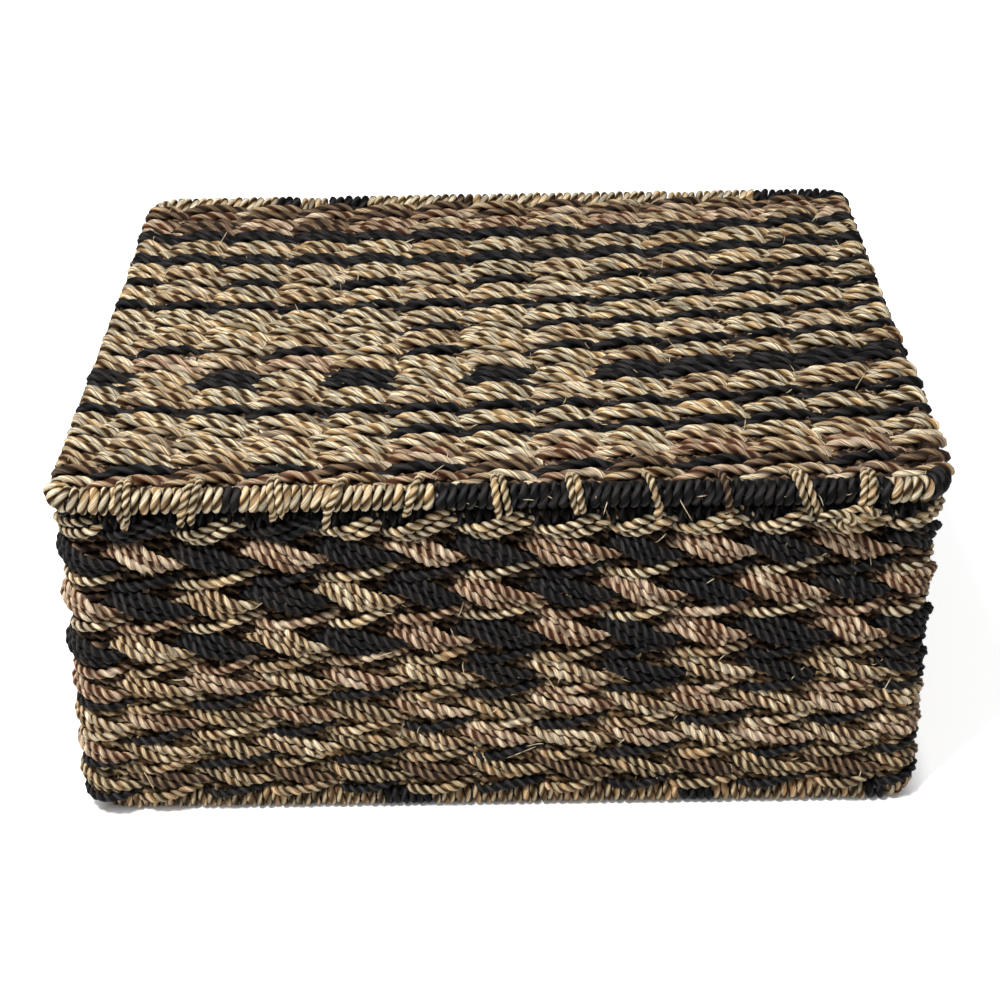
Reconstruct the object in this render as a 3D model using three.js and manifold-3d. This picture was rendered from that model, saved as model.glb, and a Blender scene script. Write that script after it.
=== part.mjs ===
// Lidded storage basket, woven from twisted rush cord on a welded wire frame.
// Millimetres, +Z up, front towards -Y, origin under the middle of the whole basket.
// The lid is lashed to the back rail and swings about the axis of its own back rod.
import * as THREE from 'three';
import { mergeVertices } from 'three/addons/utils/BufferGeometryUtils.js';
import Module from 'manifold-3d';

const wasm = await Module();
wasm.setup();

// Driving sizes of the basket
const BASKET_HEIGHT = 180;
const BODY_WIDTH = 394;
const BODY_DEPTH = 346;
const LID_SIDE_OVERHANG = 3;
const LID_FRONT_OVERHANG = 5;
const WALL_THICKNESS = 13;
const BASE_THICKNESS = 13;
const LID_THICKNESS = 12;

// Frame wire
const WIRE_RADIUS = 1.6;
const WIRE_BEND_RADIUS = 12;
const WELD_GAP = 0.3;

// Cords: stakes run inside the weave, whipping winds round the rods
const STAKE_RADIUS = 1.75;
const WHIPPING_CORD_RADIUS = 1.85;
const WHIPPING_PITCH = 4.5;
const WHIPPING_BEND_PITCH = 9;
const LASHING_CORD_RADIUS = 1.6;
const LASHING_PITCH = 4;
const LASHING_LOOPS = 3;
const LASHING_SPACING = 210;

// Counts
const LONG_STAKES = 11;
const LID_STAKES = 11;
const SIDE_LOOPS = 4;

// Stake routes
const STAKE_BASE_BEND = 20;
const SIDE_LOOP_BEND = 6;
const SIDE_LOOP_FOOT = 4;
const LID_STAKE_RAMP = THREE.MathUtils.degToRad(30);
const LID_STAKE_HOOK_END = THREE.MathUtils.degToRad(235);

// Where the front whipping changes from natural to black cord
const COLOUR_CHANGE_X = -26.5;

// Running clearance between pieces that touch
const CLEARANCE = 0.3;
const CUT_OVERRUN = 2;

// Facets
const WIRE_SIDES = 8;
const STAKE_SIDES = 5;
const LID_STAKE_SIDES = 6;
const SLEEVE_SIDES = 8;
const WHIPPING_SIDES = 5;
const CURL_STEPS = 8;
const LASHING_SIDES = 6;
const LASHING_ARC_STEPS = 8;
const LASHING_RUN_STEPS = 4;
const HOOK_STEPS = 6;
const BEND_STEPS = 4;
const HALF_BEND_STEPS = 2;
const STAKE_BEND_STEPS = 2;
const EDGE_STEPS = 6;

// Sizes that follow from the driving ones
const QUARTER = Math.PI / 2;
const circumscribe = (radius, sides) => radius / Math.cos(Math.PI / sides);
const WINDING_RADIUS = circumscribe(WIRE_RADIUS + CLEARANCE + WHIPPING_CORD_RADIUS, CURL_STEPS);
const RIM_RADIUS = WINDING_RADIUS + WHIPPING_CORD_RADIUS;
const RIM_SEAT = RIM_RADIUS + CLEARANCE;
const WALL_SEAT = Math.max(RIM_RADIUS, WALL_THICKNESS / 2) + CLEARANCE;

const LID_WIDTH = BODY_WIDTH + 2 * LID_SIDE_OVERHANG;
const RAIL_X = BODY_WIDTH / 2 - WALL_THICKNESS / 2;
const RAIL_Y = BODY_DEPTH / 2 - WALL_THICKNESS / 2;
const LID_ROD_X = LID_WIDTH / 2 - LID_THICKNESS / 2;
const LID_FRONT_Y = -RAIL_Y - LID_FRONT_OVERHANG;
const LID_BACK_Y = RAIL_Y;

const LID_STAKE_HOOK_START = QUARTER - LID_STAKE_RAMP;
const HOOK_STEP = (LID_STAKE_HOOK_END - LID_STAKE_HOOK_START) / HOOK_STEPS;
const HOOK_RADIUS = (RIM_SEAT + STAKE_RADIUS) / Math.cos(HOOK_STEP / 2);
const HOOK_REACH = HOOK_RADIUS + STAKE_RADIUS;
const LID_Z = BASKET_HEIGHT - HOOK_REACH;
const RAIL_Z = LID_Z - LID_THICKNESS / 2 - RIM_SEAT;
const BASE_RING_Z = RIM_RADIUS;
const WALL_TOP = RAIL_Z - RIM_SEAT;
const WALL_BOTTOM = BASE_RING_Z + RIM_SEAT;
const STAKE_PITCH = (2 * RAIL_X) / (LONG_STAKES + 1);
const LID_STAKE_PITCH = (2 * LID_ROD_X) / (LID_STAKES + 1);
const SIDE_STAKE_PITCH = (2 * RAIL_Y) / (2 * SIDE_LOOPS + 1);
const LASHING_HALF_WIDTH = (LASHING_PITCH * LASHING_LOOPS) / 2 + LASHING_CORD_RADIUS;

// The basket is centred front to back on its own outline, hooks included
const FRONT_REACH = HOOK_REACH - LID_FRONT_Y;
const CENTRE_SHIFT_Y = (FRONT_REACH - BODY_DEPTH / 2) / 2;

// Materials
const finish = (color, roughness, metalness) =>
  new THREE.MeshStandardMaterial({ color, roughness, metalness });
const steelWire = () => finish(0x6f6c68, 0.5, 0.9);
const naturalCord = () => finish(0xd6c199, 0.85, 0);
const blackCord = () => finish(0x24242a, 0.75, 0);
const bodyWeave = () => finish(0x8a7355, 0.9, 0);
const lidWeave = () => finish(0xa48c66, 0.9, 0);

// A route whose rings stand exactly at the listed stations
class StationPath extends THREE.Curve {
  constructor(stations) {
    super();
    this.stations = stations;
  }

  get steps() {
    return this.stations.length - 1;
  }

  getPoint(t, target = new THREE.Vector3()) {
    const place = THREE.MathUtils.clamp(t, 0, 1) * this.steps;
    const index = Math.min(Math.floor(place), this.steps - 1);
    return target.lerpVectors(this.stations[index], this.stations[index + 1], place - index);
  }

  getPointAt(u, target) {
    return this.getPoint(u, target);
  }

  getTangentAt(u, target = new THREE.Vector3()) {
    const index = Math.round(u * this.steps);
    const before = this.stations[Math.max(index - 1, 0)];
    const here = this.stations[index];
    const after = this.stations[Math.min(index + 1, this.steps)];
    const arriving = here.clone().sub(before).normalize();
    const leaving = after.clone().sub(here).normalize();
    return target.copy(arriving).add(leaving).normalize();
  }
}

function polygon(radius, sides) {
  const points = [];
  for (let i = 0; i < sides; i += 1) {
    const angle = (2 * Math.PI * (i + 0.5)) / sides;
    points.push(new THREE.Vector2(radius * Math.cos(angle), radius * Math.sin(angle)));
  }
  return points;
}

// Sweeps a round section, or a round section with a bore, along the stations
function sweep(stations, radius, sides, boreRadius = 0) {
  const path = new StationPath(stations);
  const section = new THREE.Shape(polygon(radius, sides));
  if (boreRadius > 0) {
    section.holes.push(new THREE.Path(polygon(circumscribe(boreRadius, sides), sides)));
  }
  return new THREE.ExtrudeGeometry(section, { steps: path.steps, extrudePath: path });
}

// Stations along an arc about a centre, from one angle to another
function arc(centre, along, across, radius, from, to, steps) {
  const stations = [];
  for (let i = 0; i <= steps; i += 1) {
    const angle = from + ((to - from) * i) / steps;
    const station = centre.clone();
    station.addScaledVector(along, radius * Math.cos(angle));
    station.addScaledVector(across, radius * Math.sin(angle));
    stations.push(station);
  }
  return stations;
}

const AXIS_X = new THREE.Vector3(1, 0, 0);
const AXIS_Y = new THREE.Vector3(0, 1, 0);
const AXIS_Z = new THREE.Vector3(0, 0, 1);

// Boolean cuts
function toSolid(geometry) {
  const bare = geometry.clone();
  bare.deleteAttribute('normal');
  bare.deleteAttribute('uv');
  const merged = mergeVertices(bare, 1e-4);
  const vertProperties = new Float32Array(merged.attributes.position.array);
  const triVerts = new Uint32Array(merged.index.array);
  return new wasm.Manifold(new wasm.Mesh({ numProp: 3, vertProperties, triVerts }));
}

function toGeometry(solid) {
  const { vertProperties, triVerts } = solid.getMesh();
  const geometry = new THREE.BufferGeometry();
  geometry.setAttribute('position', new THREE.Float32BufferAttribute(vertProperties, 3));
  geometry.setIndex(new THREE.Uint32BufferAttribute(triVerts, 1));
  geometry.computeVertexNormals();
  return geometry;
}

function cut(geometry, tools) {
  let solid = toSolid(geometry);
  for (const tool of tools) {
    solid = solid.subtract(toSolid(tool));
  }
  return toGeometry(solid);
}

function piece(name, geometry, material) {
  const mesh = new THREE.Mesh(geometry, material);
  mesh.name = name;
  return mesh;
}

// Wire rings: one bent length, its ends butted at the middle of the back
function ringStations(halfX, frontY, backY) {
  const r = WIRE_BEND_RADIUS;
  const corner = (x, y, from) =>
    arc(new THREE.Vector3(x, y, 0), AXIS_X, AXIS_Y, r, from, from - QUARTER, BEND_STEPS);
  return [
    new THREE.Vector3(WELD_GAP / 2, backY, 0),
    ...corner(halfX - r, backY - r, QUARTER),
    ...corner(halfX - r, frontY + r, 0),
    ...corner(-halfX + r, frontY + r, -QUARTER),
    ...corner(-halfX + r, backY - r, -2 * QUARTER),
    new THREE.Vector3(-WELD_GAP / 2, backY, 0),
  ];
}

const bodyRing = sweep(ringStations(RAIL_X, -RAIL_Y, RAIL_Y), WIRE_RADIUS, WIRE_SIDES);
const lidRingStations = ringStations(LID_ROD_X, LID_FRONT_Y, LID_BACK_Y);

// Corner posts stand between the two body rings at the middle of each bend
const POST_OFFSET = WIRE_BEND_RADIUS * Math.SQRT1_2;
const POST_X = RAIL_X - WIRE_BEND_RADIUS + POST_OFFSET;
const POST_Y = RAIL_Y - WIRE_BEND_RADIUS + POST_OFFSET;
const POST_BOTTOM = BASE_RING_Z + WIRE_RADIUS + WELD_GAP;
const POST_TOP = RAIL_Z - WIRE_RADIUS - WELD_GAP;

function postGeometry(radius, bottom, top) {
  const post = new THREE.CylinderGeometry(radius, radius, top - bottom, WIRE_SIDES);
  post.rotateX(QUARTER);
  post.translate(0, 0, (top + bottom) / 2);
  return post;
}

// Whipping sleeves, one straight rod long, stopping short of the posts at both bends
const POST_GAP = WIRE_RADIUS + CLEARANCE;
const SLEEVE_TURN = Math.PI / 4 - Math.asin(POST_GAP / WIRE_BEND_RADIUS);

function sleeve(stations) {
  return sweep(stations, RIM_RADIUS, SLEEVE_SIDES, WIRE_RADIUS + CLEARANCE);
}

// The front rail of a body ring, from the post at one bend to the post at the other
function railStations(halfLength, distance) {
  const r = WIRE_BEND_RADIUS;
  const right = new THREE.Vector3(halfLength - r, -distance + r, 0);
  const left = new THREE.Vector3(-halfLength + r, -distance + r, 0);
  return [
    ...arc(left, AXIS_X, AXIS_Y, r, -QUARTER - SLEEVE_TURN, -QUARTER, HALF_BEND_STEPS),
    ...arc(right, AXIS_X, AXIS_Y, r, -QUARTER, -QUARTER + SLEEVE_TURN, HALF_BEND_STEPS),
  ];
}

// The stretch of back rail between two places on its straight, or on round its bend
const LASHING_X = LASHING_SPACING / 2;
const LASHING_CLEAR = LASHING_HALF_WIDTH + CLEARANCE;

function middleRail(backY) {
  const end = LASHING_X - LASHING_CLEAR;
  return [new THREE.Vector3(-end, backY, 0), new THREE.Vector3(end, backY, 0)];
}

function outerRail(halfX, backY, turn, steps) {
  const r = WIRE_BEND_RADIUS;
  const centre = new THREE.Vector3(halfX - r, backY - r, 0);
  return [
    new THREE.Vector3(LASHING_X + LASHING_CLEAR, backY, 0),
    ...arc(centre, AXIS_X, AXIS_Y, r, QUARTER, QUARTER - turn, steps),
  ];
}

const mirrorX = (stations) =>
  stations.map((station) => new THREE.Vector3(-station.x, station.y, station.z));

// Stakes, the cords that the weave is twined on
// A long stake runs down the front wall, under the floor and up the back wall
function longStakeStations(overrun = 0) {
  const r = STAKE_BASE_BEND;
  const floorZ = BASE_THICKNESS / 2;
  const front = new THREE.Vector3(0, -RAIL_Y + r, floorZ + r);
  const back = new THREE.Vector3(0, RAIL_Y - r, floorZ + r);
  const top = WALL_TOP + overrun;
  return [
    new THREE.Vector3(0, -RAIL_Y, top),
    ...arc(front, AXIS_Y, AXIS_Z, r, Math.PI, Math.PI + QUARTER, STAKE_BEND_STEPS),
    ...arc(back, AXIS_Y, AXIS_Z, r, -QUARTER, 0, STAKE_BEND_STEPS),
    new THREE.Vector3(0, RAIL_Y, top),
  ];
}

// A side loop is two neighbouring side stakes in one cord, turned back just above
// the whipped base ring
function sideLoopStations(overrun = 0) {
  const r = SIDE_LOOP_BEND;
  const half = SIDE_STAKE_PITCH / 2;
  const floorZ = WALL_BOTTOM + SIDE_LOOP_FOOT;
  const top = WALL_TOP + overrun;
  const first = new THREE.Vector3(RAIL_X, -half + r, floorZ + r);
  const second = new THREE.Vector3(RAIL_X, half - r, floorZ + r);
  return [
    new THREE.Vector3(RAIL_X, -half, top),
    ...arc(first, AXIS_Y, AXIS_Z, r, Math.PI, Math.PI + QUARTER, STAKE_BEND_STEPS),
    ...arc(second, AXIS_Y, AXIS_Z, r, -QUARTER, 0, STAKE_BEND_STEPS),
    new THREE.Vector3(RAIL_X, half, top),
  ];
}

// A lid stake runs forward inside the lid, climbs and hooks over the whipped front rod
const LID_PANEL_FRONT = LID_FRONT_Y + RIM_SEAT;
const LID_PANEL_BACK = LID_BACK_Y - RIM_SEAT;

function lidStakeStations(overrun = 0) {
  const rod = new THREE.Vector3(0, LID_FRONT_Y, 0);
  const hook = arc(rod, AXIS_Y, AXIS_Z, HOOK_RADIUS,
    LID_STAKE_HOOK_START, LID_STAKE_HOOK_END, HOOK_STEPS);
  const rampFoot = hook[0].y + hook[0].z / Math.tan(LID_STAKE_RAMP);
  return [
    new THREE.Vector3(0, LID_PANEL_BACK + overrun, 0),
    new THREE.Vector3(0, rampFoot, 0),
    ...hook,
  ];
}

const stakeBar = (stations, sides) => sweep(stations, STAKE_RADIUS, sides);
const stakeTool = (stations, sides) =>
  sweep(stations, circumscribe(STAKE_RADIUS + CLEARANCE, sides), sides);

const spread = (count, pitch) =>
  Array.from({ length: count }, (unused, i) => (i - (count - 1) / 2) * pitch);

const LONG_STAKE_PLACES = spread(LONG_STAKES, STAKE_PITCH);
const LID_STAKE_PLACES = spread(LID_STAKES, LID_STAKE_PITCH);
const SIDE_LOOP_PLACES = spread(SIDE_LOOPS, 2 * SIDE_STAKE_PITCH);

const longStakeTools = LONG_STAKE_PLACES.map((x) =>
  stakeTool(longStakeStations(CUT_OVERRUN), STAKE_SIDES).translate(x, 0, 0));
const sideLoopTools = SIDE_LOOP_PLACES.map((y) =>
  stakeTool(sideLoopStations(CUT_OVERRUN), STAKE_SIDES).translate(0, y, 0));

// Woven walls, mitred at the corner posts
// Seen from above, the front wall: two straight faces and half of each bend
function wallGeometry(halfLength, distance) {
  const r = WIRE_BEND_RADIUS;
  const outer = r + WALL_THICKNESS / 2;
  const inner = r - WALL_THICKNESS / 2;
  const centreX = halfLength - r;
  const centreY = -distance + r;
  const mitre = (radius) => Math.PI / 4 - Math.asin(CLEARANCE / 2 / radius);
  const outline = new THREE.Shape();
  outline.absarc(-centreX, centreY, outer, -QUARTER - mitre(outer), -QUARTER, false);
  outline.absarc(centreX, centreY, outer, -QUARTER, -QUARTER + mitre(outer), false);
  outline.absarc(centreX, centreY, inner, -QUARTER + mitre(inner), -QUARTER, true);
  outline.absarc(-centreX, centreY, inner, -QUARTER, -QUARTER - mitre(inner), true);
  outline.closePath();
  const wall = new THREE.ExtrudeGeometry(outline, {
    depth: WALL_TOP - WALL_BOTTOM,
    bevelEnabled: false,
    curveSegments: BEND_STEPS,
  });
  return wall.translate(0, 0, WALL_BOTTOM);
}

function postTools() {
  const radius = circumscribe(WIRE_RADIUS + CLEARANCE, WIRE_SIDES);
  const bottom = WALL_BOTTOM - CUT_OVERRUN;
  const top = WALL_TOP + CUT_OVERRUN;
  return [1, -1].flatMap((sx) => [1, -1].map((sy) =>
    postGeometry(radius, bottom, top).translate(sx * POST_X, sy * POST_Y, 0)));
}

const frontWall = cut(wallGeometry(RAIL_X, RAIL_Y), [...longStakeTools, ...postTools()]);
const rightWallBlank = wallGeometry(RAIL_Y, RAIL_X).rotateZ(QUARTER);
const rightWall = cut(rightWallBlank, [...sideLoopTools, ...postTools()]);

// Woven floor between the walls
function floorBlank() {
  const halfX = RAIL_X - WALL_SEAT;
  const halfY = RAIL_Y - WALL_SEAT;
  const r = WIRE_BEND_RADIUS - WALL_SEAT;
  const outline = new THREE.Shape();
  outline.absarc(halfX - r, halfY - r, r, 0, QUARTER, false);
  outline.absarc(-halfX + r, halfY - r, r, QUARTER, 2 * QUARTER, false);
  outline.absarc(-halfX + r, -halfY + r, r, 2 * QUARTER, 3 * QUARTER, false);
  outline.absarc(halfX - r, -halfY + r, r, 3 * QUARTER, 4 * QUARTER, false);
  outline.closePath();
  return new THREE.ExtrudeGeometry(outline, {
    depth: BASE_THICKNESS,
    bevelEnabled: false,
    curveSegments: BEND_STEPS,
  });
}

const floorPanel = cut(floorBlank(), longStakeTools);

// Woven lid panel: rounded side edges closed round the side rods, notched corners
function lidBlank() {
  const halfX = LID_WIDTH / 2;
  const edge = LID_THICKNESS / 2;
  const section = new THREE.Shape();
  section.absarc(halfX - edge, 0, edge, -QUARTER, QUARTER, false);
  section.absarc(-halfX + edge, 0, edge, QUARTER, 3 * QUARTER, false);
  section.closePath();
  const slab = new THREE.ExtrudeGeometry(section, {
    depth: LID_PANEL_BACK - LID_PANEL_FRONT,
    bevelEnabled: false,
    curveSegments: EDGE_STEPS,
  });
  slab.rotateX(QUARTER);
  return slab.translate(0, LID_PANEL_BACK, 0);
}

// The lid's outline from above: each corner stands back from the whipped bend of the rod
// and steps out again to the side rod just past the end of the whipping
const LID_CORNER_REACH = WHIPPING_CORD_RADIUS + CLEARANCE;

function lidOutline() {
  const side = LID_WIDTH / 2;
  const r = WIRE_BEND_RADIUS - RIM_SEAT;
  const x = LID_ROD_X - WIRE_BEND_RADIUS;
  const front = LID_FRONT_Y + WIRE_BEND_RADIUS;
  const back = LID_BACK_Y - WIRE_BEND_RADIUS;
  const frontStep = front + LID_CORNER_REACH;
  const backStep = back - LID_CORNER_REACH;
  const outline = new THREE.Shape();
  outline.moveTo(side, frontStep);
  outline.lineTo(side, backStep);
  outline.lineTo(x + r, backStep);
  outline.absarc(x, back, r, 0, QUARTER, false);
  outline.absarc(-x, back, r, QUARTER, 2 * QUARTER, false);
  outline.lineTo(-x - r, backStep);
  outline.lineTo(-side, backStep);
  outline.lineTo(-side, frontStep);
  outline.lineTo(-x - r, frontStep);
  outline.absarc(-x, front, r, 2 * QUARTER, 3 * QUARTER, false);
  outline.absarc(x, front, r, 3 * QUARTER, 4 * QUARTER, false);
  outline.lineTo(x + r, frontStep);
  outline.closePath();
  const block = new THREE.ExtrudeGeometry(outline, {
    depth: LID_THICKNESS + CUT_OVERRUN,
    bevelEnabled: false,
    curveSegments: BEND_STEPS,
  });
  return block.translate(0, 0, -(LID_THICKNESS + CUT_OVERRUN) / 2);
}

function lidPanelGeometry() {
  const rodRadius = circumscribe(WIRE_RADIUS + CLEARANCE, WIRE_SIDES);
  const shaped = toGeometry(toSolid(lidBlank()).intersect(toSolid(lidOutline())));
  return cut(shaped, [
    sweep(lidRingStations, rodRadius, WIRE_SIDES),
    ...LID_STAKE_PLACES.map((place) =>
      stakeTool(lidStakeStations(CUT_OVERRUN), LID_STAKE_SIDES).translate(place, 0, 0)),
  ]);
}

// Whipping of the lid's front rod: one unbroken cord, wound round the rod and its bend
// The left half of the route starts where the left bend leaves the side rod
const BEND_LENGTH = QUARTER * WIRE_BEND_RADIUS;

function frontRodFrame(distance) {
  const r = WIRE_BEND_RADIUS;
  const straight = 2 * (LID_ROD_X - r);
  if (distance < BEND_LENGTH) {
    const angle = Math.PI + distance / r;
    const outward = new THREE.Vector3(Math.cos(angle), Math.sin(angle), 0);
    const centre = new THREE.Vector3(-LID_ROD_X + r, LID_FRONT_Y + r, 0);
    return { point: centre.addScaledVector(outward, r), outward };
  }
  if (distance > BEND_LENGTH + straight) {
    const mirrored = frontRodFrame(2 * BEND_LENGTH + straight - distance);
    mirrored.point.x = -mirrored.point.x;
    mirrored.outward.x = -mirrored.outward.x;
    return mirrored;
  }
  const point = new THREE.Vector3(distance - BEND_LENGTH - straight / 2, LID_FRONT_Y, 0);
  return { point, outward: new THREE.Vector3(0, -1, 0) };
}

// Turns counted from the start of a bend, with a wider pitch on the bend itself
function windingStations(bendTurns, straightStart, straightEnd, bendFirst) {
  const straightTurns = Math.round(Math.abs(straightEnd - straightStart) / WHIPPING_PITCH);
  const turns = bendTurns + straightTurns;
  const bendAt = (turn) => (turn / bendTurns) * BEND_LENGTH;
  const stations = [];
  for (let i = 0; i <= turns * CURL_STEPS; i += 1) {
    const turn = i / CURL_STEPS;
    let distance = bendAt(turn);
    if (turn > bendTurns) {
      distance = THREE.MathUtils.mapLinear(turn, bendTurns, turns, straightStart, straightEnd);
    }
    const { point, outward } = frontRodFrame(distance);
    const angle = -2 * Math.PI * turn;
    point.addScaledVector(outward, WINDING_RADIUS * Math.cos(angle));
    point.z += WINDING_RADIUS * Math.sin(angle);
    if (!bendFirst) {
      point.x = -point.x;
    }
    stations.push(point);
  }
  const tail = 2 * WHIPPING_CORD_RADIUS;
  const drift = (tail * WHIPPING_PITCH) / (2 * Math.PI * WINDING_RADIUS);
  const last = stations[stations.length - 1];
  const across = last.x - stations[stations.length - 2].x;
  stations.unshift(stations[0].clone().setZ(tail));
  stations.push(new THREE.Vector3(last.x + Math.sign(across) * drift, last.y, -tail));
  return stations;
}

// Least gap of a wound cord to itself, measured on points of its centre line
function leastGap(stations, radius, turnSteps) {
  let least = Infinity;
  const onSegment = new THREE.Vector3();
  const segment = new THREE.Line3();
  const apart = Math.round(turnSteps * 0.6);
  for (let i = 0; i < stations.length; i += 1) {
    for (let j = i + apart; j < stations.length - 1; j += 1) {
      segment.set(stations[j], stations[j + 1]);
      segment.closestPointToPoint(stations[i], true, onSegment);
      least = Math.min(least, onSegment.distanceTo(stations[i]));
    }
  }
  return least - 2 * radius;
}

const BEND_TURNS = Math.round(BEND_LENGTH / WHIPPING_BEND_PITCH);
const CHANGE_DISTANCE = BEND_LENGTH + LID_ROD_X - WIRE_BEND_RADIUS + COLOUR_CHANGE_X;
const CHANGE_FROM_RIGHT = BEND_LENGTH + LID_ROD_X - WIRE_BEND_RADIUS - COLOUR_CHANGE_X;
const naturalWinding = windingStations(BEND_TURNS, BEND_LENGTH, CHANGE_DISTANCE, true);
const blackWinding = windingStations(
  BEND_TURNS, BEND_LENGTH, CHANGE_FROM_RIGHT - WHIPPING_PITCH, false);

// Hinge lashing: loops of one cord round the lid's back rod and the body's back rail
function lashingStations() {
  const step = Math.PI / LASHING_ARC_STEPS;
  const radius = (WIRE_RADIUS + CLEARANCE + LASHING_CORD_RADIUS) / Math.cos(step / 2);
  const up = AXIS_Z;
  const rod = new THREE.Vector3(0, 0, LID_Z);
  const rail = new THREE.Vector3(0, 0, RAIL_Z);
  const over = arc(rod, AXIS_Y, up, radius, 0, Math.PI, LASHING_ARC_STEPS);
  const under = arc(rail, AXIS_Y, up, radius, Math.PI, 2 * Math.PI, LASHING_ARC_STEPS);
  const run = (from, to) => Array.from({ length: LASHING_RUN_STEPS - 1 }, (unused, i) =>
    from.clone().lerp(to, (i + 1) / LASHING_RUN_STEPS));
  const loop = [...over, ...run(over[LASHING_ARC_STEPS], under[0]), ...under,
    ...run(under[LASHING_ARC_STEPS], over[0])];
  const start = loop.length - LASHING_RUN_STEPS / 2;
  const total = LASHING_LOOPS * loop.length;
  const stations = [];
  for (let i = 0; i <= total; i += 1) {
    const station = loop[(start + i) % loop.length].clone();
    station.x = (i / total - 0.5) * LASHING_PITCH * LASHING_LOOPS;
    station.y += RAIL_Y;
    stations.push(station);
  }
  return stations;
}

const lashing = lashingStations();
const LASHING_LOOP_STEPS = 2 * (LASHING_ARC_STEPS + LASHING_RUN_STEPS);
console.log('least gap, natural whipping',
  leastGap(naturalWinding, WHIPPING_CORD_RADIUS, CURL_STEPS).toFixed(2));
console.log('least gap, black whipping',
  leastGap(blackWinding, WHIPPING_CORD_RADIUS, CURL_STEPS).toFixed(2));
console.log('least gap, hinge lashing',
  leastGap(lashing, LASHING_CORD_RADIUS, LASHING_LOOP_STEPS).toFixed(2));

// Assembly: the frame
const body = new THREE.Group();
const frontToBack = [['front', 0], ['back', Math.PI]];
const rightToLeft = [['right', 0], ['left', Math.PI]];

function place(mesh, x, y, z, turn = 0) {
  mesh.position.set(x, y, z);
  mesh.rotation.z = turn;
  return mesh;
}

body.add(place(piece('body_top_ring', bodyRing, steelWire()), 0, 0, RAIL_Z));
body.add(place(piece('body_base_ring', bodyRing, steelWire()), 0, 0, BASE_RING_Z));
for (const [end, sy] of [['front', -1], ['back', 1]]) {
  for (const [side, sx] of [['left', -1], ['right', 1]]) {
    const post = postGeometry(WIRE_RADIUS, POST_BOTTOM, POST_TOP);
    body.add(place(piece(`corner_post_${end}_${side}`, post, steelWire()),
      sx * POST_X, sy * POST_Y, 0));
  }
}

// Assembly: stakes and weave of the body
LONG_STAKE_PLACES.forEach((x, i) => {
  const name = `long_stake_${String(i + 1).padStart(2, '0')}`;
  const stake = stakeBar(longStakeStations(), STAKE_SIDES);
  body.add(place(piece(name, stake, naturalCord()), x, 0, 0));
});
for (const [side, turn] of rightToLeft) {
  SIDE_LOOP_PLACES.forEach((y, i) => {
    const loop = stakeBar(sideLoopStations(), STAKE_SIDES);
    const mesh = piece(`side_stake_loop_${side}_${i + 1}`, loop, naturalCord());
    body.add(place(mesh, 0, y, 0, turn));
  });
}
for (const [end, turn] of frontToBack) {
  body.add(place(piece(`woven_wall_${end}`, frontWall, bodyWeave()), 0, 0, 0, turn));
}
for (const [side, turn] of rightToLeft) {
  body.add(place(piece(`woven_wall_${side}`, rightWall, bodyWeave()), 0, 0, 0, turn));
}
body.add(piece('woven_floor', floorPanel, bodyWeave()));

// Assembly: whipping of the two body rings
const longRail = railStations(RAIL_X, RAIL_Y);
const shortRail = railStations(RAIL_Y, RAIL_X);
for (const [end, turn] of frontToBack) {
  body.add(place(piece(`base_whipping_${end}`, sleeve(longRail), naturalCord()),
    0, 0, BASE_RING_Z, turn));
}
for (const [side, turn] of rightToLeft) {
  body.add(place(piece(`base_whipping_${side}`, sleeve(shortRail), naturalCord()),
    0, 0, BASE_RING_Z, turn + QUARTER));
  body.add(place(piece(`rail_whipping_${side}`, sleeve(shortRail), blackCord()),
    0, 0, RAIL_Z, turn + QUARTER));
}
const outerBackRail = outerRail(RAIL_X, RAIL_Y, SLEEVE_TURN, HALF_BEND_STEPS);
const bodyRailSleeves = [
  ['rail_whipping_front', longRail],
  ['rail_whipping_back_middle', middleRail(RAIL_Y)],
  ['rail_whipping_back_right', outerBackRail],
  ['rail_whipping_back_left', mirrorX(outerBackRail)],
];
for (const [name, stations] of bodyRailSleeves) {
  body.add(place(piece(name, sleeve(stations), blackCord()), 0, 0, RAIL_Z));
}

// Assembly: the lid and its hinge lashings
const lid = new THREE.Group();
lid.position.z = LID_Z;
lid.add(piece('lid_ring', sweep(lidRingStations, WIRE_RADIUS, WIRE_SIDES), steelWire()));
lid.add(piece('lid_woven_panel', lidPanelGeometry(), lidWeave()));
LID_STAKE_PLACES.forEach((x, i) => {
  const name = `lid_stake_${String(i + 1).padStart(2, '0')}`;
  const stake = stakeBar(lidStakeStations(), LID_STAKE_SIDES);
  lid.add(place(piece(name, stake, naturalCord()), x, 0, 0));
});
const winding = (stations) => sweep(stations, WHIPPING_CORD_RADIUS, WHIPPING_SIDES);
lid.add(piece('lid_front_whipping_natural', winding(naturalWinding), naturalCord()));
lid.add(piece('lid_front_whipping_black', winding(blackWinding), blackCord()));
const outerLidRod = outerRail(LID_ROD_X, LID_BACK_Y, QUARTER, BEND_STEPS);
lid.add(piece('lid_back_whipping_middle', sleeve(middleRail(LID_BACK_Y)), naturalCord()));
lid.add(piece('lid_back_whipping_right', sleeve(outerLidRod), naturalCord()));
lid.add(piece('lid_back_whipping_left', sleeve(mirrorX(outerLidRod)), naturalCord()));
for (const [side, sx] of [['left', -1], ['right', 1]]) {
  const cord = sweep(lashing, LASHING_CORD_RADIUS, LASHING_SIDES);
  body.add(place(piece(`hinge_lashing_${side}`, cord, naturalCord()), sx * LASHING_X, 0, 0));
}

const basket = new THREE.Group();
basket.add(body, lid);
basket.position.y = CENTRE_SHIFT_Y;

export default basket;
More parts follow.
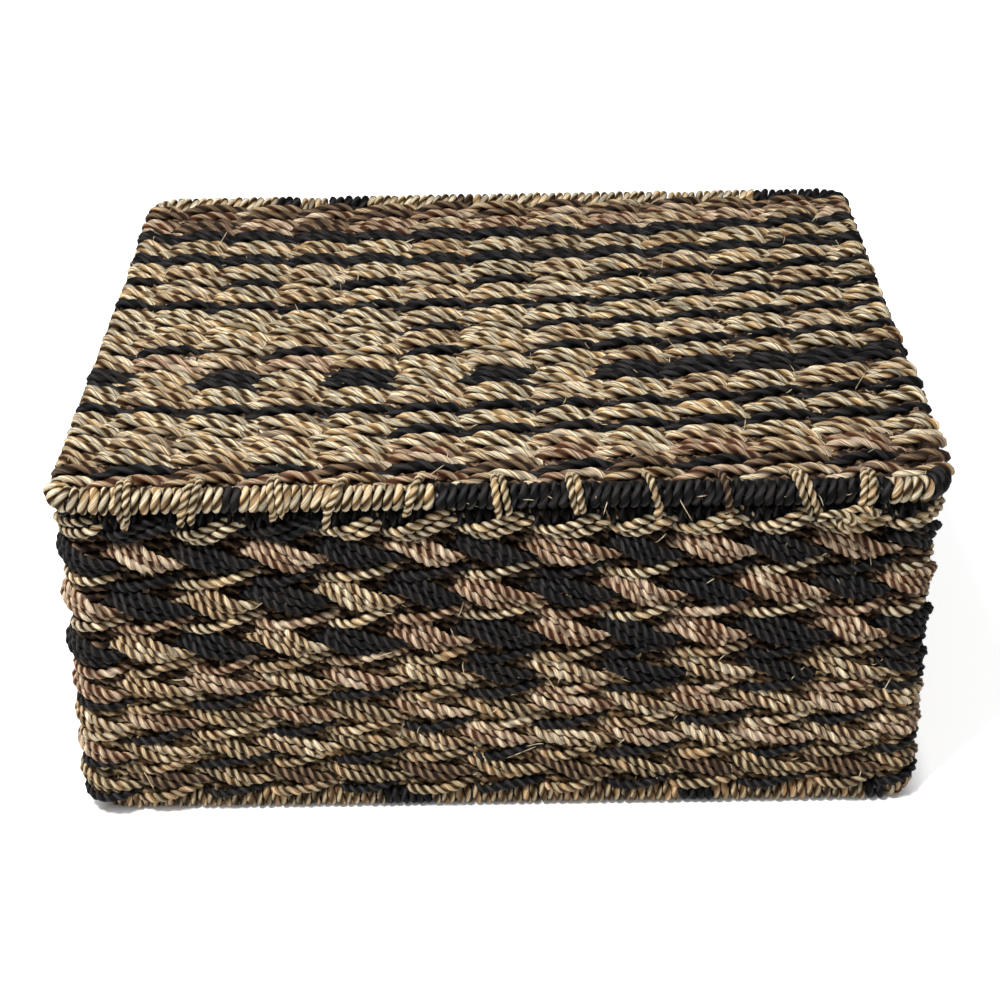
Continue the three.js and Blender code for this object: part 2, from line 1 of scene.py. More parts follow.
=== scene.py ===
"""Lidded storage basket of twisted rush cord, twined over a welded wire frame.

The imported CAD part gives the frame, the places and the sizes. This script lays the cords on it: the twined
rows of the walls, the floor and the lid, the whipped rods, the hooked lid stakes and the hinge lashings.
Lengths are in metres, +X to the right along the front, +Y to the hinged back, +Z up.
"""

import logging
import math
from dataclasses import dataclass, replace
from enum import Enum

import bmesh
import bpy
import numpy as np
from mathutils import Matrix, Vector


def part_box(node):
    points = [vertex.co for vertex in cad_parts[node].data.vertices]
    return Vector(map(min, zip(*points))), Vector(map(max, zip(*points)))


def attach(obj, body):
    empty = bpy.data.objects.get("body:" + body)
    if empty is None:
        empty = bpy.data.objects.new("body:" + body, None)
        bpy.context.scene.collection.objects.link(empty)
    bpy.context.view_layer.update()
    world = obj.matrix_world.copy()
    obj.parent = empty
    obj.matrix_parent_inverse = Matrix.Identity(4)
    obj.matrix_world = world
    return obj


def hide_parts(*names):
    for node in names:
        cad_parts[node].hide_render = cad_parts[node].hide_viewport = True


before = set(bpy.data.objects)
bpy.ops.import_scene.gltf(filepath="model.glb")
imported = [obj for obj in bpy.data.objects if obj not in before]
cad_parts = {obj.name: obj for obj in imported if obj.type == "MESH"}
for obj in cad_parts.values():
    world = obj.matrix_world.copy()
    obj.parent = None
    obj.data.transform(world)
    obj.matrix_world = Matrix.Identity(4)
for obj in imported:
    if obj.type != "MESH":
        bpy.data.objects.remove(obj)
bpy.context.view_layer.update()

LOG = logging.getLogger("rush_basket")
MM = 0.001
QUARTER = math.pi / 2
X, Y, Z = np.eye(3)
WHITE = (1.0, 1.0, 1.0)
Colour = tuple[float, float, float]
Screen = tuple[int, int, int]
Span = tuple[float, float]
Table = tuple[tuple[float, ...], tuple[float, ...]]


def srgb(red: int, green: int, blue: int) -> Colour:
    """Turns a screen colour, each channel 0 to 255, into the linear colour that a shader takes."""
    shares = [channel / 255 for channel in (red, green, blue)]
    return tuple(c / 12.92 if c <= 0.04045 else ((c + 0.055) / 1.055) ** 2.4 for c in shares)


def stand(name: str, data: bpy.types.ID) -> bpy.types.Object:
    """Makes an object of its data and puts it into the scene.

    Args:
        name: The object's name.
        data: Its mesh, curve, lamp or camera.

    Returns:
        The object.
    """
    made = bpy.data.objects.new(name, data)
    bpy.context.scene.collection.objects.link(made)
    return made


def trace(x: object, y: object, z: object) -> np.ndarray:
    """Joins three coordinates, each an array or one number, into a line of points."""
    return np.column_stack(np.broadcast_arrays(x, y, z))


def lengths_along(points: np.ndarray) -> np.ndarray:
    """Gives how far along a line each of its points lies."""
    return np.concatenate([[0.0], np.cumsum(np.linalg.norm(np.diff(points, axis=0), axis=1))])


def sample(at: np.ndarray, distance: np.ndarray, points: np.ndarray) -> np.ndarray:
    """Reads a line of points at other distances along it."""
    return np.stack([np.interp(at, distance, points[:, axis]) for axis in range(3)], axis=1)


def add_spline(curve: bpy.types.Curve, points: np.ndarray, closed: bool) -> bpy.types.Spline:
    """Adds a line of points to a curve.

    Args:
        curve: The curve.
        points: The points.
        closed: Whether the line closes on itself.

    Returns:
        The new spline.
    """
    spline = curve.splines.new("POLY")
    spline.points.add(len(points) - 1)
    spline.points.foreach_set("co", np.column_stack([points, np.ones(len(points))]).ravel())
    spline.use_cyclic_u = closed
    return spline


class Nodes:
    """Short hand for laying out the nodes of one material or node group."""

    def __init__(self, tree: bpy.types.NodeTree) -> None:
        """Takes the tree that the nodes go into."""
        self.tree = tree

    @classmethod
    def start(cls, name: str) -> tuple[bpy.types.Material, "Nodes", bpy.types.Node]:
        """Starts a material.

        Args:
            name: The material's name.

        Returns:
            The material, its nodes and its Principled shader.
        """
        material = bpy.data.materials.new(name)
        material.use_nodes = True
        return material, cls(material.node_tree), material.node_tree.nodes["Principled BSDF"]

    def fill(self, socket: bpy.types.NodeSocket, value: object) -> None:
        """Links a socket to another, or gives it a number or a linear colour.

        Args:
            socket: The input to fill.
            value: A socket, a number or a colour of three channels.
        """
        if isinstance(value, bpy.types.NodeSocket):
            self.tree.links.new(value, socket)
        else:
            socket.default_value = (*value, 1.0) if isinstance(value, tuple) else value

    def settle(self, node: bpy.types.Node, **settings: object) -> bpy.types.Node:
        """Sets a node's options and fills its inputs.

        Args:
            node: The node.
            settings: Its options, and what goes into its inputs, by their names.

        Returns:
            The same node.
        """
        for name, value in settings.items():
            if hasattr(node, name):
                setattr(node, name, value)
            else:
                self.fill(node.inputs[name.replace("_", " ")], value)
        return node

    def add(self, kind: str, **settings: object) -> bpy.types.Node:
        """Adds a node, named by its type without the ShaderNode prefix, and settles it."""
        return self.settle(self.tree.nodes.new("ShaderNode" + kind), **settings)

    def math(self, operation: str, *values: object) -> bpy.types.NodeSocket:
        """Adds a Math node.

        Args:
            operation: The node's operation.
            values: What it works on, sockets or numbers.

        Returns:
            The result's socket.
        """
        node = self.add("Math", operation=operation)
        for socket, value in zip(node.inputs, values):
            self.fill(socket, value)
        return node.outputs[0]

    def times(self, value: object, factor: object) -> bpy.types.NodeSocket:
        """Multiplies a value by another."""
        return self.math("MULTIPLY", value, factor)

    def place(self, x: object, y: object, z: object) -> bpy.types.NodeSocket:
        """Joins three values, sockets or numbers, into one vector."""
        return self.add("CombineXYZ", X=x, Y=y, Z=z).outputs[0]

    def noise(self, where: bpy.types.NodeSocket, scale: float, detail: float) -> bpy.types.NodeSocket:
        """Reads a Noise texture of a scale and a detail at a vector."""
        return self.add("TexNoise", Vector=where, Scale=scale, Detail=detail, Roughness=0.62).outputs["Fac"]

    def ramp(self, value: bpy.types.NodeSocket, low: float, high: float,
             to_low: float = 0.0, to_high: float = 1.0) -> bpy.types.NodeSocket:
        """Maps a value smoothly from one range to another, and holds it beyond low and high."""
        return self.add("MapRange", interpolation_type="SMOOTHSTEP", Value=value, From_Min=low, From_Max=high,
                        To_Min=to_low, To_Max=to_high).outputs["Result"]

    def mix(self, share: object, first: object, second: object, blend: str = "MIX") -> bpy.types.NodeSocket:
        """Mixes two colours.

        Args:
            share: A socket or a number, 0 for the first colour and 1 for the second.
            first: A socket or a linear colour.
            second: A socket or a linear colour.
            blend: The blend type.

        Returns:
            The mixed colour's socket.
        """
        node = self.add("Mix", data_type="RGBA", blend_type=blend)
        for index, value in ((0, share), (6, first), (7, second)):
            self.fill(node.inputs[index], value)
        return node.outputs[2]

    def grey(self, value: bpy.types.NodeSocket) -> bpy.types.NodeSocket:
        """Turns a value into a grey of that brightness."""
        return self.add("CombineColor", Red=value, Green=value, Blue=value).outputs[0]


class RushFibreAndShading:
    """The node group that every rush cord shares: its plies, fibre streaks and mottling, and painted ply
    highlights and groove shade.

    It reads two attributes of the cord: "ply", whose x and y turn with the plies and whose z runs along the
    cord, and "split", the depth of the seam along the middle of each ply, painted as shade.
    """

    NAME = "rush_fibre_and_shading"
    # Crest colour: painted highlight on the ply ridges. Groove colour: painted shade in the notches between
    # the plies, also the colour of the dark fibre streaks and wear
    INPUTS = ("Crest", "Flank", "Groove", "Odd Ply")
    OUTPUTS = (("Colour", "Color"), ("Roughness", "Float"), ("Height", "Float"))

    @classmethod
    def group(cls) -> bpy.types.NodeTree:
        """Gives the group, which is built the first time."""
        return bpy.data.node_groups.get(cls.NAME) or cls.build()

    @classmethod
    def build(cls) -> bpy.types.NodeTree:
        """Builds the group.

        Returns:
            The node group: four colours in, and Colour, Roughness and Height out.
        """
        tree = bpy.data.node_groups.new(cls.NAME, "ShaderNodeTree")
        for name in cls.INPUTS:
            tree.interface.new_socket(name, in_out="INPUT", socket_type="NodeSocketColor")
        for name, kind in cls.OUTPUTS:
            tree.interface.new_socket(name, in_out="OUTPUT", socket_type="NodeSocket" + kind)
        nodes = Nodes(tree)
        given = tree.nodes.new("NodeGroupInput").outputs
        ply = nodes.add("Attribute", attribute_name="ply").outputs["Vector"]
        across, round_it, along = nodes.add("SeparateXYZ", Vector=ply).outputs
        # How near each point lies to the ridge of a ply: it places the painted highlight on the ridge and the
        # painted shade in the groove
        crest_light, side = nodes.math("ABSOLUTE", across), nodes.math("SIGN", across)

        # Fine streaks run along each ply
        fine = nodes.place(nodes.times(across, 6.5), nodes.times(round_it, 6.5), nodes.times(along, 2.0))
        streak = nodes.ramp(nodes.noise(fine, 1.0, 3.0), 0.37, 0.63)

        # Each ply changes its tone slowly along the cord, and is worn dark in places
        tone = nodes.noise(nodes.place(nodes.times(side, 3.7), 0.0, nodes.times(along, 0.55)), 1.0, 2.0)
        odd = nodes.ramp(tone, 0.5, 0.62, 0.0, 0.9)
        shade = nodes.ramp(tone, 0.3, 0.7, 0.62, 1.2)
        wear = nodes.noise(nodes.place(nodes.times(side, 9.1), 5.0, nodes.times(along, 0.9)), 1.0, 2.0)
        worn = nodes.ramp(wear, 0.5, 0.68, 0.0, 0.6)

        # Painted shade darkens the flank to the groove colour towards the notch between the plies, and a
        # painted highlight brightens it to the crest colour on the ridge
        flank = nodes.mix(nodes.ramp(crest_light, 0.34, 0.84), given["Groove"], given["Flank"])
        lit = nodes.mix(nodes.ramp(crest_light, 0.64, 0.98), flank, given["Crest"])
        mottled = nodes.mix(odd, lit, nodes.mix(0.5, lit, given["Odd Ply"]))
        streaked = nodes.mix(nodes.ramp(streak, 0.0, 1.0, 0.7, 0.0), mottled, given["Groove"])
        # Painted shade of a seam along the middle of each ply, as strong as the cord's split attribute
        split = nodes.add("Attribute", attribute_name="split").outputs["Fac"]
        seam = nodes.ramp(nodes.math("ABSOLUTE", round_it), 0.05, 0.24, 1.0, 0.0)
        seamed = nodes.mix(nodes.times(seam, split), streaked, given["Groove"])
        aged = nodes.mix(worn, seamed, given["Groove"])
        colour = nodes.mix(1.0, aged, nodes.grey(shade), "MULTIPLY")
        roughness = nodes.ramp(streak, 0.0, 1.0, 0.8, 0.55)
        nodes.settle(tree.nodes.new("NodeGroupOutput"), Colour=colour, Roughness=roughness, Height=streak)
        return tree


@dataclass(frozen=True)
class RushFinishAndShading:
    """Screen colours of one lot of rush: painted highlight on its crests, flanks, painted shade in its
    grooves, an odd ply.
    """

    name: str
    # Painted highlight on the ply ridges
    crest_light: Screen
    flank: Screen
    # Painted shade in the notches between the plies; also the colour of the dark streaks and wear
    groove_shade_grain_and_wear: Screen
    odd_ply: Screen
    relief: float = 0.35
    gloss: float = 0.14

    def material(self) -> bpy.types.Material:
        """Gives the material, which is built the first time."""
        return bpy.data.materials.get(self.name) or self.build()

    def build(self) -> bpy.types.Material:
        """Builds the material from the shared fibre group.

        Returns:
            The new material.
        """
        material, nodes, shader = Nodes.start(self.name)
        given = zip(RushFibreAndShading.INPUTS, (self.crest_light, self.flank, self.groove_shade_grain_and_wear, self.odd_ply))
        colours = {name: srgb(*colour) for name, colour in given}
        fibre = nodes.add("Group", node_tree=RushFibreAndShading.group(), **colours).outputs
        bump = nodes.add("Bump", Strength=self.relief, Distance=0.3 * MM, Height=fibre["Height"])
        nodes.settle(shader, Base_Color=fibre["Colour"], Roughness=fibre["Roughness"],
                     Specular_IOR_Level=self.gloss, Normal=bump.outputs["Normal"])
        return material


class Dye(Enum):
    """The lots of rush in the basket, undyed and dyed, each with its painted crest highlight and groove
    shade.
    """

    STRAW = RushFinishAndShading("rush_straw", (252, 242, 214), (202, 172, 120), (42, 25, 10), (214, 174, 122))
    HONEY = RushFinishAndShading("rush_honey", (240, 218, 178), (172, 128, 78), (48, 28, 13), (252, 240, 210))
    CHESTNUT = RushFinishAndShading("rush_chestnut", (228, 202, 170), (136, 88, 50), (60, 32, 16), (244, 228, 198))
    KHAKI = RushFinishAndShading("rush_khaki", (226, 208, 172), (142, 115, 74), (40, 26, 12), (200, 154, 108))
    UMBER = RushFinishAndShading("rush_umber", (166, 138, 108), (84, 60, 41), (30, 18, 10), (56, 42, 32))
    # Black's crest colour is a painted grey glint on the ply ridges
    BLACK = RushFinishAndShading("rush_black", (66, 63, 63), (8, 7, 7), (1, 1, 1), (36, 29, 24), gloss=0.12)
    FRAY = RushFinishAndShading("rush_fray", (250, 240, 214), (236, 222, 188), (214, 196, 158), (240, 224, 190))


STRAW, HONEY, CHESTNUT, KHAKI, UMBER, BLACK, FRAY = Dye
DyePlan = tuple[tuple[float, Dye], ...]


def plan(first: Dye, *changes: tuple[float, Dye]) -> DyePlan:
    """Says which dye a cord starts with, before support 0, and from which supports others hold."""
    return ((-1.0, first), *changes)


@dataclass(frozen=True)
class CordStyle:
    """How a two-ply cord is spun, and how finely its mesh follows it."""

    radius: float = 2.45 * MM
    lay: float = 9.4 * MM
    steps: int = 7
    sides: int = 8
    waist: float = 0.56
    # split: how deep the painted seam shade along the middle of each ply is
    split: float = 0.25

    @property
    def angles(self) -> np.ndarray:
        """Angles of the section's corners, clockwise, so that the cord's faces point outwards."""
        return -2 * math.pi * np.arange(self.sides) / self.sides

    def section(self) -> bpy.types.Object:
        """Makes the two-lobed section that the cord's curve carries, one unit in radius.

        Returns:
            A curve object for the bevel of a cord's curve.
        """
        curve = bpy.data.curves.new("cord_section", "CURVE")
        reach = self.waist + (1 - self.waist) * np.abs(np.cos(self.angles)) ** 1.3
        add_spline(curve, trace(reach * np.cos(self.angles), reach * np.sin(self.angles), 0.0), True)
        return stand("cord_section", curve)


PACKING = CordStyle(2.8 * MM, 17 * MM, 4, 6, 0.85)


@dataclass
class Run:
    """One unbroken length of cord: its points, its dye and whether it closes on itself."""

    points: np.ndarray
    dye: Dye
    closed: bool = False


class Drift:
    """Small unevenness of hand work: a smooth random curve that also closes on itself."""

    def __init__(self, seed: int) -> None:
        """Starts the random draws from a seed."""
        self.random = np.random.default_rng(seed)

    def along(self, distance: np.ndarray, length: float, amount: float, wave: float) -> np.ndarray:
        """Draws one curve.

        Args:
            distance: Distances along the cord.
            length: The length after which the curve repeats.
            amount: Its usual size.
            wave: Its usual wavelength.

        Returns:
            The offset at each distance.
        """
        total = np.zeros_like(distance)
        for pace in (0.6, 1.0, 1.7, 2.6):
            waves = max(1, round(length / wave * pace * self.random.uniform(0.85, 1.15)))
            phase = self.random.uniform(0, 2 * math.pi)
            total += np.sin(2 * math.pi * waves * distance / length + phase) / 2
        return amount * total


@dataclass
class Skein:
    """Cords of one style that make one piece of the basket. The seed starts its random draws."""

    name: str
    style: CordStyle
    seed: int
    girth_spread: float = 0.07
    girth_wave: float = 40 * MM
    tip_radius: float = 1e-7
    shoulder: float = 0.75
    tip_merge: float = 1e-5

    def __post_init__(self) -> None:
        """Starts the piece with no cords."""
        self.runs: list[Run] = []
        self.drift = Drift(self.seed)

    def lay(self, points: np.ndarray, dye: Dye, closed: bool = False) -> None:
        """Adds a cord along a close line of points."""
        self.runs.append(Run(points, dye, closed))

    def spaced(self, run: Run) -> tuple[np.ndarray, float]:
        """Spaces a run's points evenly, a set number to each lay.

        Args:
            run: The run.

        Returns:
            The points, and the length from one to the next.
        """
        points = np.vstack([run.points, run.points[:1]]) if run.closed else run.points
        reach = lengths_along(points)
        count = max(1, round(reach[-1] / self.style.lay)) * self.style.steps
        even = sample(np.linspace(0.0, reach[-1], count + 1), reach, points)
        return (even[:-1] if run.closed else even), reach[-1] / count

    def curve(self) -> tuple[bpy.types.Curve, list[np.ndarray]]:
        """Makes the curve of all the runs, and what its mesh needs to know of each.

        Returns:
            The curve, and for each run its distances along the cord in lays.
        """
        curve = bpy.data.curves.new(self.name, "CURVE")
        curve.dimensions = "3D"
        curve.twist_mode = "MINIMUM"
        curve.bevel_mode = "OBJECT"
        curve.bevel_object = self.style.section()
        dyes = [dye for dye in Dye if any(run.dye is dye for run in self.runs)]
        for dye in dyes:
            curve.materials.append(dye.value.material())
        laid: list[np.ndarray] = []
        for run in self.runs:
            points, step = self.spaced(run)
            count = len(points)
            lays = np.arange(count) / self.style.steps
            distance = step * np.arange(count)
            spread = self.drift.along(distance, step * count, self.girth_spread, self.girth_wave)
            girth = self.style.radius * (1 + spread)
            if not run.closed:
                girth[[0, -1]] = self.tip_radius
                girth[[1, -2]] *= self.shoulder
            spline = add_spline(curve, points, run.closed)
            spline.points.foreach_set("radius", girth)
            spline.points.foreach_set("tilt", 2 * math.pi * lays + self.drift.random.uniform(0, math.pi))
            spline.use_smooth = True
            spline.material_index = dyes.index(run.dye)
            laid.append(lays + self.drift.random.integers(0, 4000))
        return curve, laid

    def piece(self, body: str, slot: str, *replaced: str) -> None:
        """Spins the cords into one mesh, hands it to the frame and reports it.

        Args:
            body: The CAD body that it rides on.
            slot: The record's material slot, not used.
            replaced: The CAD nodes that it stands for.
        """
        curve, laid = self.curve()
        former = stand(self.name + "_curve", curve)
        depsgraph = bpy.context.evaluated_depsgraph_get()
        mesh = bpy.data.meshes.new_from_object(former.evaluated_get(depsgraph), depsgraph=depsgraph)
        for used in (former, curve.bevel_object):
            bpy.data.objects.remove(used)
        self.mark_plies(mesh, laid)
        self.close_ends(mesh, laid)
        mesh.name = self.name
        made = stand(self.name, mesh)
        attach(made, body)
        if replaced:
            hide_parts(*replaced)
        faces = len(mesh.polygons)
        LOG.info("%s rides on %s, %d faces, for %s", made.name, body, faces, ", ".join(replaced) or "no node")

    def mark_plies(self, mesh: bpy.types.Mesh, laid: list[np.ndarray]) -> None:
        """Writes the attributes that the fibre group reads.

        Args:
            mesh: The spun mesh, ring after ring in the order of the runs.
            laid: For each run its distances along the cord in lays.
        """
        along = np.concatenate(laid)
        if len(mesh.vertices) != len(along) * self.style.sides:
            raise RuntimeError(f"{self.name}: {len(mesh.vertices)} vertices for {len(along)} rings")
        rings = np.empty((len(along), self.style.sides, 3), np.float32)
        rings[:, :, 0] = np.cos(self.style.angles)
        rings[:, :, 1] = np.sin(self.style.angles)
        rings[:, :, 2] = along[:, None]
        mesh.attributes.new("ply", "FLOAT_VECTOR", "POINT").data.foreach_set("vector", rings.ravel())
        split = np.full(len(mesh.vertices), self.style.split, np.float32)
        mesh.attributes.new("split", "FLOAT", "POINT").data.foreach_set("value", split)

    def close_ends(self, mesh: bpy.types.Mesh, laid: list[np.ndarray]) -> None:
        """Merges the tiny rings at the ends of the open runs, so that every cord is closed.

        Args:
            mesh: The spun mesh.
            laid: A list as long as its rings for each run.
        """
        bm = bmesh.new()
        bm.from_mesh(mesh)
        bm.verts.ensure_lookup_table()
        start, tips, sides = 0, [], self.style.sides
        for run, rings in zip(self.runs, laid):
            if not run.closed:
                for ring in (start, start + len(rings) - 1):
                    tips += bm.verts[ring * sides:(ring + 1) * sides]
            start += len(rings)
        bmesh.ops.remove_doubles(bm, verts=tips, dist=self.tip_merge)
        bm.to_mesh(mesh)
        bm.free()


@dataclass
class Route:
    """The line that a row or a rod follows, with its directions and its count of supports."""

    centre: np.ndarray
    outward: np.ndarray
    across: np.ndarray
    support: np.ndarray
    closed: bool = False

    @classmethod
    def steady(cls, centre: np.ndarray, outward: np.ndarray, across: np.ndarray,
               support: np.ndarray) -> "Route":
        """Makes an open route whose two directions stay the same along it."""
        return cls(centre, *(np.tile(way, (len(centre), 1)) for way in (outward, across)), support)

    @property
    def distance(self) -> np.ndarray:
        """Distances along the line."""
        return lengths_along(self.centre)

    @property
    def length(self) -> float:
        """Length of the line, the closing step included."""
        closing = np.linalg.norm(self.centre[0] - self.centre[-1]) if self.closed else 0.0
        return float(self.distance[-1] + closing)

    def raised(self, height: float) -> "Route":
        """Gives the same line at another height."""
        return replace(self, centre=self.centre + height * Z)

    def at(self, chosen: np.ndarray) -> "Route":
        """Gives an open route of chosen points."""
        return Route(*(part[chosen] for part in (self.centre, self.outward, self.across, self.support)))

    def beside(self, out: np.ndarray, side: np.ndarray) -> np.ndarray:
        """Gives the line's points, each moved some way outward and across."""
        return self.centre + out[:, None] * self.outward + side[:, None] * self.across


@dataclass
class Ring:
    """The line of a wire ring: half its width, the Y of its front and back, and its height."""

    half_width: float
    front: float
    back: float
    z: float

    @classmethod
    def read(cls, node: str) -> "Ring":
        """Reads a ring's place from its CAD node.

        Args:
            node: The node's name.

        Returns:
            The ring.
        """
        low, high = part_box(node)
        wire = (high.z - low.z) / 2
        return cls(high.x - wire, low.y + wire, high.y - wire, (low.z + high.z) / 2)

    def loop(self, bend: float, step: float, inset: float = 0.0) -> Route:
        """Makes a loop with round corners, from the middle of the front left corner and rightwards.

        Args:
            bend: Radius of its corners.
            step: Length between its points.
            inset: How far it lies inside the ring.

        Returns:
            The closed route, at height 0, its supports not yet counted.
        """
        half_width, front, back = self.half_width - inset, self.front + inset, self.back - inset
        wide, deep = 2 * (half_width - bend), back - front - 2 * bend
        near, far = front + bend, back - bend
        corners = [(-1, near, wide), (1, near, deep), (1, far, wide), (-1, far, deep)]
        arc_steps = max(6, round(QUARTER * bend / step))
        points, normals = [], []
        for corner, (side, y, run) in enumerate(corners):
            middle = np.array([side * (half_width - bend), y, 0.0])
            start = math.pi + corner * QUARTER
            for angle in start + QUARTER * (np.arange(arc_steps) + 0.5) / arc_steps:
                normals.append(np.array([math.cos(angle), math.sin(angle), 0.0]))
                points.append(middle + bend * normals[-1])
            normal = np.array([math.cos(start + QUARTER), math.sin(start + QUARTER), 0.0])
            forward = np.array([-normal[1], normal[0], 0.0])
            count = round(run / step)
            for share in np.arange(count) / count:
                points.append(middle + bend * normal + share * run * forward)
                normals.append(normal)
        turn = -arc_steps // 2
        points, normals = np.roll(points, turn, axis=0), np.roll(normals, turn, axis=0)
        return Route(points, normals, np.tile(Z, (len(points), 1)), np.zeros(len(points)), closed=True)


class Lean(Enum):
    """The way that the strands of a row lean, seen from outside."""

    SLASH = 1
    BACKSLASH = -1


@dataclass(frozen=True)
class Twine:
    """How the two strands of a row swing round the supports, and how the cords of a strand lie."""

    cords: int
    lean: Lean
    swing_out: float = 4.6 * MM
    swing_across: float = 2.3 * MM
    spacing: float = 4.8 * MM
    narrowing: float = 0.3
    crown: float = 0.0
    flatness: float = 0.9
    shift_out: float = 0.0
    sway: float = 0.22
    sway_wave: float = 110 * MM
    unevenness: float = 0.3 * MM
    uneven_wave: float = 60 * MM


@dataclass
class TwinedRow:
    """One row of twining: two strands of one or more cords, which change sides at every support.

    A row that doesn't close has the reach of the turns round the side rods at its left and right end.
    """

    route: Route
    twine: Twine
    even: DyePlan
    odd: DyePlan
    ends: Span | None = None

    def lay_on(self, skein: Skein) -> None:
        """Lays both strands into a piece.

        Args:
            skein: The piece.
        """
        route, twine = self.route, self.twine
        sway = skein.drift.along(route.distance, route.length, twine.sway, twine.sway_wave)
        for parity, dyes in enumerate((self.even, self.odd)):
            for cord in range(twine.cords):
                skein.runs += self.dyed(self.cord_line(parity, cord, skein.drift, sway), parity, dyes)

    def cord_line(self, parity: int, cord: int, drift: Drift, sway: np.ndarray) -> np.ndarray:
        """Works out the line of one cord.

        Args:
            parity: 0 for the strand that is outside at even supports, 1 for the other.
            cord: The cord's place in its strand.
            drift: The source of its unevenness.
            sway: How far the row's crossings lie from their even places, as angles.

        Returns:
            Its points, one for each point of the route.
        """
        route, twine, lean = self.route, self.twine, self.twine.lean.value
        turn = math.pi * (route.support + parity) + sway
        cosine, sine = np.cos(turn), np.sin(turn)
        middle = (twine.cords - 1) / 2
        place = (cord - middle) * twine.spacing
        rise = twine.crown * (1 - ((cord - middle) / max(middle, 1)) ** 2)
        uneven = [drift.along(route.distance, route.length, twine.unevenness, twine.uneven_wave)
                  for _ in ("out", "side")]
        swing = np.tanh(twine.flatness * cosine) / math.tanh(twine.flatness)
        stagger = lean * (1 - twine.narrowing) * place * sine
        out = twine.shift_out + (twine.swing_out + rise) * swing - stagger + uneven[0]
        width = twine.narrowing + (1 - twine.narrowing) * np.abs(cosine)
        side = lean * twine.swing_across * sine + place * width + uneven[1]
        return route.beside(out, side)

    def dyed(self, line: np.ndarray, parity: int, dyes: DyePlan) -> list[Run]:
        """Cuts a cord's line where its dye changes, always behind a support.

        Args:
            line: The cord's points.
            parity: The strand's parity.
            dyes: Its dyes, each with the support from which it holds.

        Returns:
            The runs.
        """
        if len(dyes) == 1:
            return [Run(self.turned(line), dyes[0][1], self.route.closed)]
        closed, hidden = self.route.closed, 1 - parity
        behind = [start if start < 0 else 2 * round((start - hidden) / 2) + hidden for start, _ in dyes]
        if closed:
            behind[0] = hidden
        cuts = [int(place) for place in np.searchsorted(self.route.support, behind)]
        count, overlap = len(line), 2
        ends = [*(cut + overlap for cut in cuts[1:]), count + cuts[0] + overlap if closed else count]
        runs = []
        for index, (first, last) in enumerate(zip(cuts, ends)):
            points = line[np.arange(first, last) % count]
            runs.append(Run(self.turned(points, index == 0, index + 1 == len(dyes)), dyes[index][1]))
        return runs

    def turned(self, line: np.ndarray, first: bool = True, last: bool = True) -> np.ndarray:
        """Adds the quarter turns round the side rods, where the strands of an open row meet.

        Args:
            line: The cord's points.
            first: Whether the left end turns.
            last: Whether the right end turns.

        Returns:
            The points with their ends turned.
        """
        if not self.ends:
            return line
        angles = np.radians(np.linspace(12, 100, 8))
        middle = self.route.centre[0][2]
        parts = [line]
        for wanted, point, side, reach in zip((first, last), line[[0, -1]], (-1, 1), self.ends):
            height = point[2] - middle
            arc = trace(point[0] + side * reach * abs(height) * np.sin(angles), point[1],
                        middle + height * np.cos(angles))
            if wanted:
                parts = [arc[::-1], *parts] if side < 0 else [*parts, arc]
        return np.vstack(parts)


@dataclass
class Winding:
    """Cord wound turn by turn round a rod."""

    route: Route
    radius: float
    pitch: float
    dyes: DyePlan
    gaps: tuple[Span, ...] = ()
    slant: float = 0.0
    steps: int = 20
    margin: float = 2.4 * MM

    def piece(self, skein: Skein, body: str, slot: str, *replaced: str) -> None:
        """Winds the rod as a piece of its own, on its body and in place of the CAD nodes it replaces."""
        self.lay_on(skein)
        skein.piece(body, slot, *replaced)

    def lay_on(self, skein: Skein) -> None:
        """Winds the cord into a piece, one run for each stretch between gaps and dye changes.

        Args:
            skein: The piece.
        """
        route, length = self.route, self.route.length
        if route.closed:
            count = len(route.centre)
            route = route.at(np.arange(count + 1) % count)
            route.support[-1] = route.support[-2] + 0.01
        distance = route.distance
        starts = [0.0] + [float(np.interp(place, route.support, distance)) for place, _ in self.dyes[1:]]
        for (_, dye), start, end in zip(self.dyes, starts, [*starts[1:], length]):
            for first, last in self.clear_stretches(start, end):
                self.wind(skein, route, distance, (first, last), dye)

    def clear_stretches(self, start: float, end: float) -> list[Span]:
        """Takes the gaps out of a stretch, so that a turn lies close against both sides of each gap.

        Args:
            start: Where the stretch starts.
            end: Where it ends.

        Returns:
            What is left of it.
        """
        left, lean = [], self.slant * self.radius
        for first, last in sorted(self.gaps):
            if first > start and last < end:
                left.append((start, first - self.margin + 0.75 * self.pitch - lean))
                start = last + self.margin - 0.25 * self.pitch - lean
        return [*left, (start, end)]

    def wind(self, skein: Skein, route: Route, distance: np.ndarray, stretch: Span, dye: Dye) -> None:
        """Winds one stretch, as full turns that start and end on the rod's inner side.

        Args:
            skein: The piece.
            route: The rod's line.
            distance: Distances along it.
            stretch: Where it starts and ends.
            dye: The cord's dye.
        """
        first, last = stretch
        turns = max(1, round((last - first) / self.pitch))
        count = turns * self.steps + 1
        at = np.linspace(first, last, count)
        angle = math.pi - np.linspace(0, 2 * math.pi * turns, count)
        repeat = max(distance[-1], 0.1)
        at = at + skein.drift.along(at, repeat, 0.25 * MM, 25 * MM)
        middle = (first + last) / 2
        lowest = max([distance[0], *(edge + self.margin for _, edge in self.gaps if edge < middle)])
        highest = min([distance[-1], *(edge - self.margin for edge, _ in self.gaps if edge > middle)])
        at = np.clip(at + self.slant * self.radius * np.sin(angle), lowest, highest)
        radius = self.radius + skein.drift.along(at, repeat, 0.15 * MM, 12 * MM)
        parts = (sample(at, distance, part) for part in (route.centre, route.outward, route.across))
        skein.lay(Route(*parts, at).beside(radius * np.cos(angle), radius * np.sin(angle)), dye)


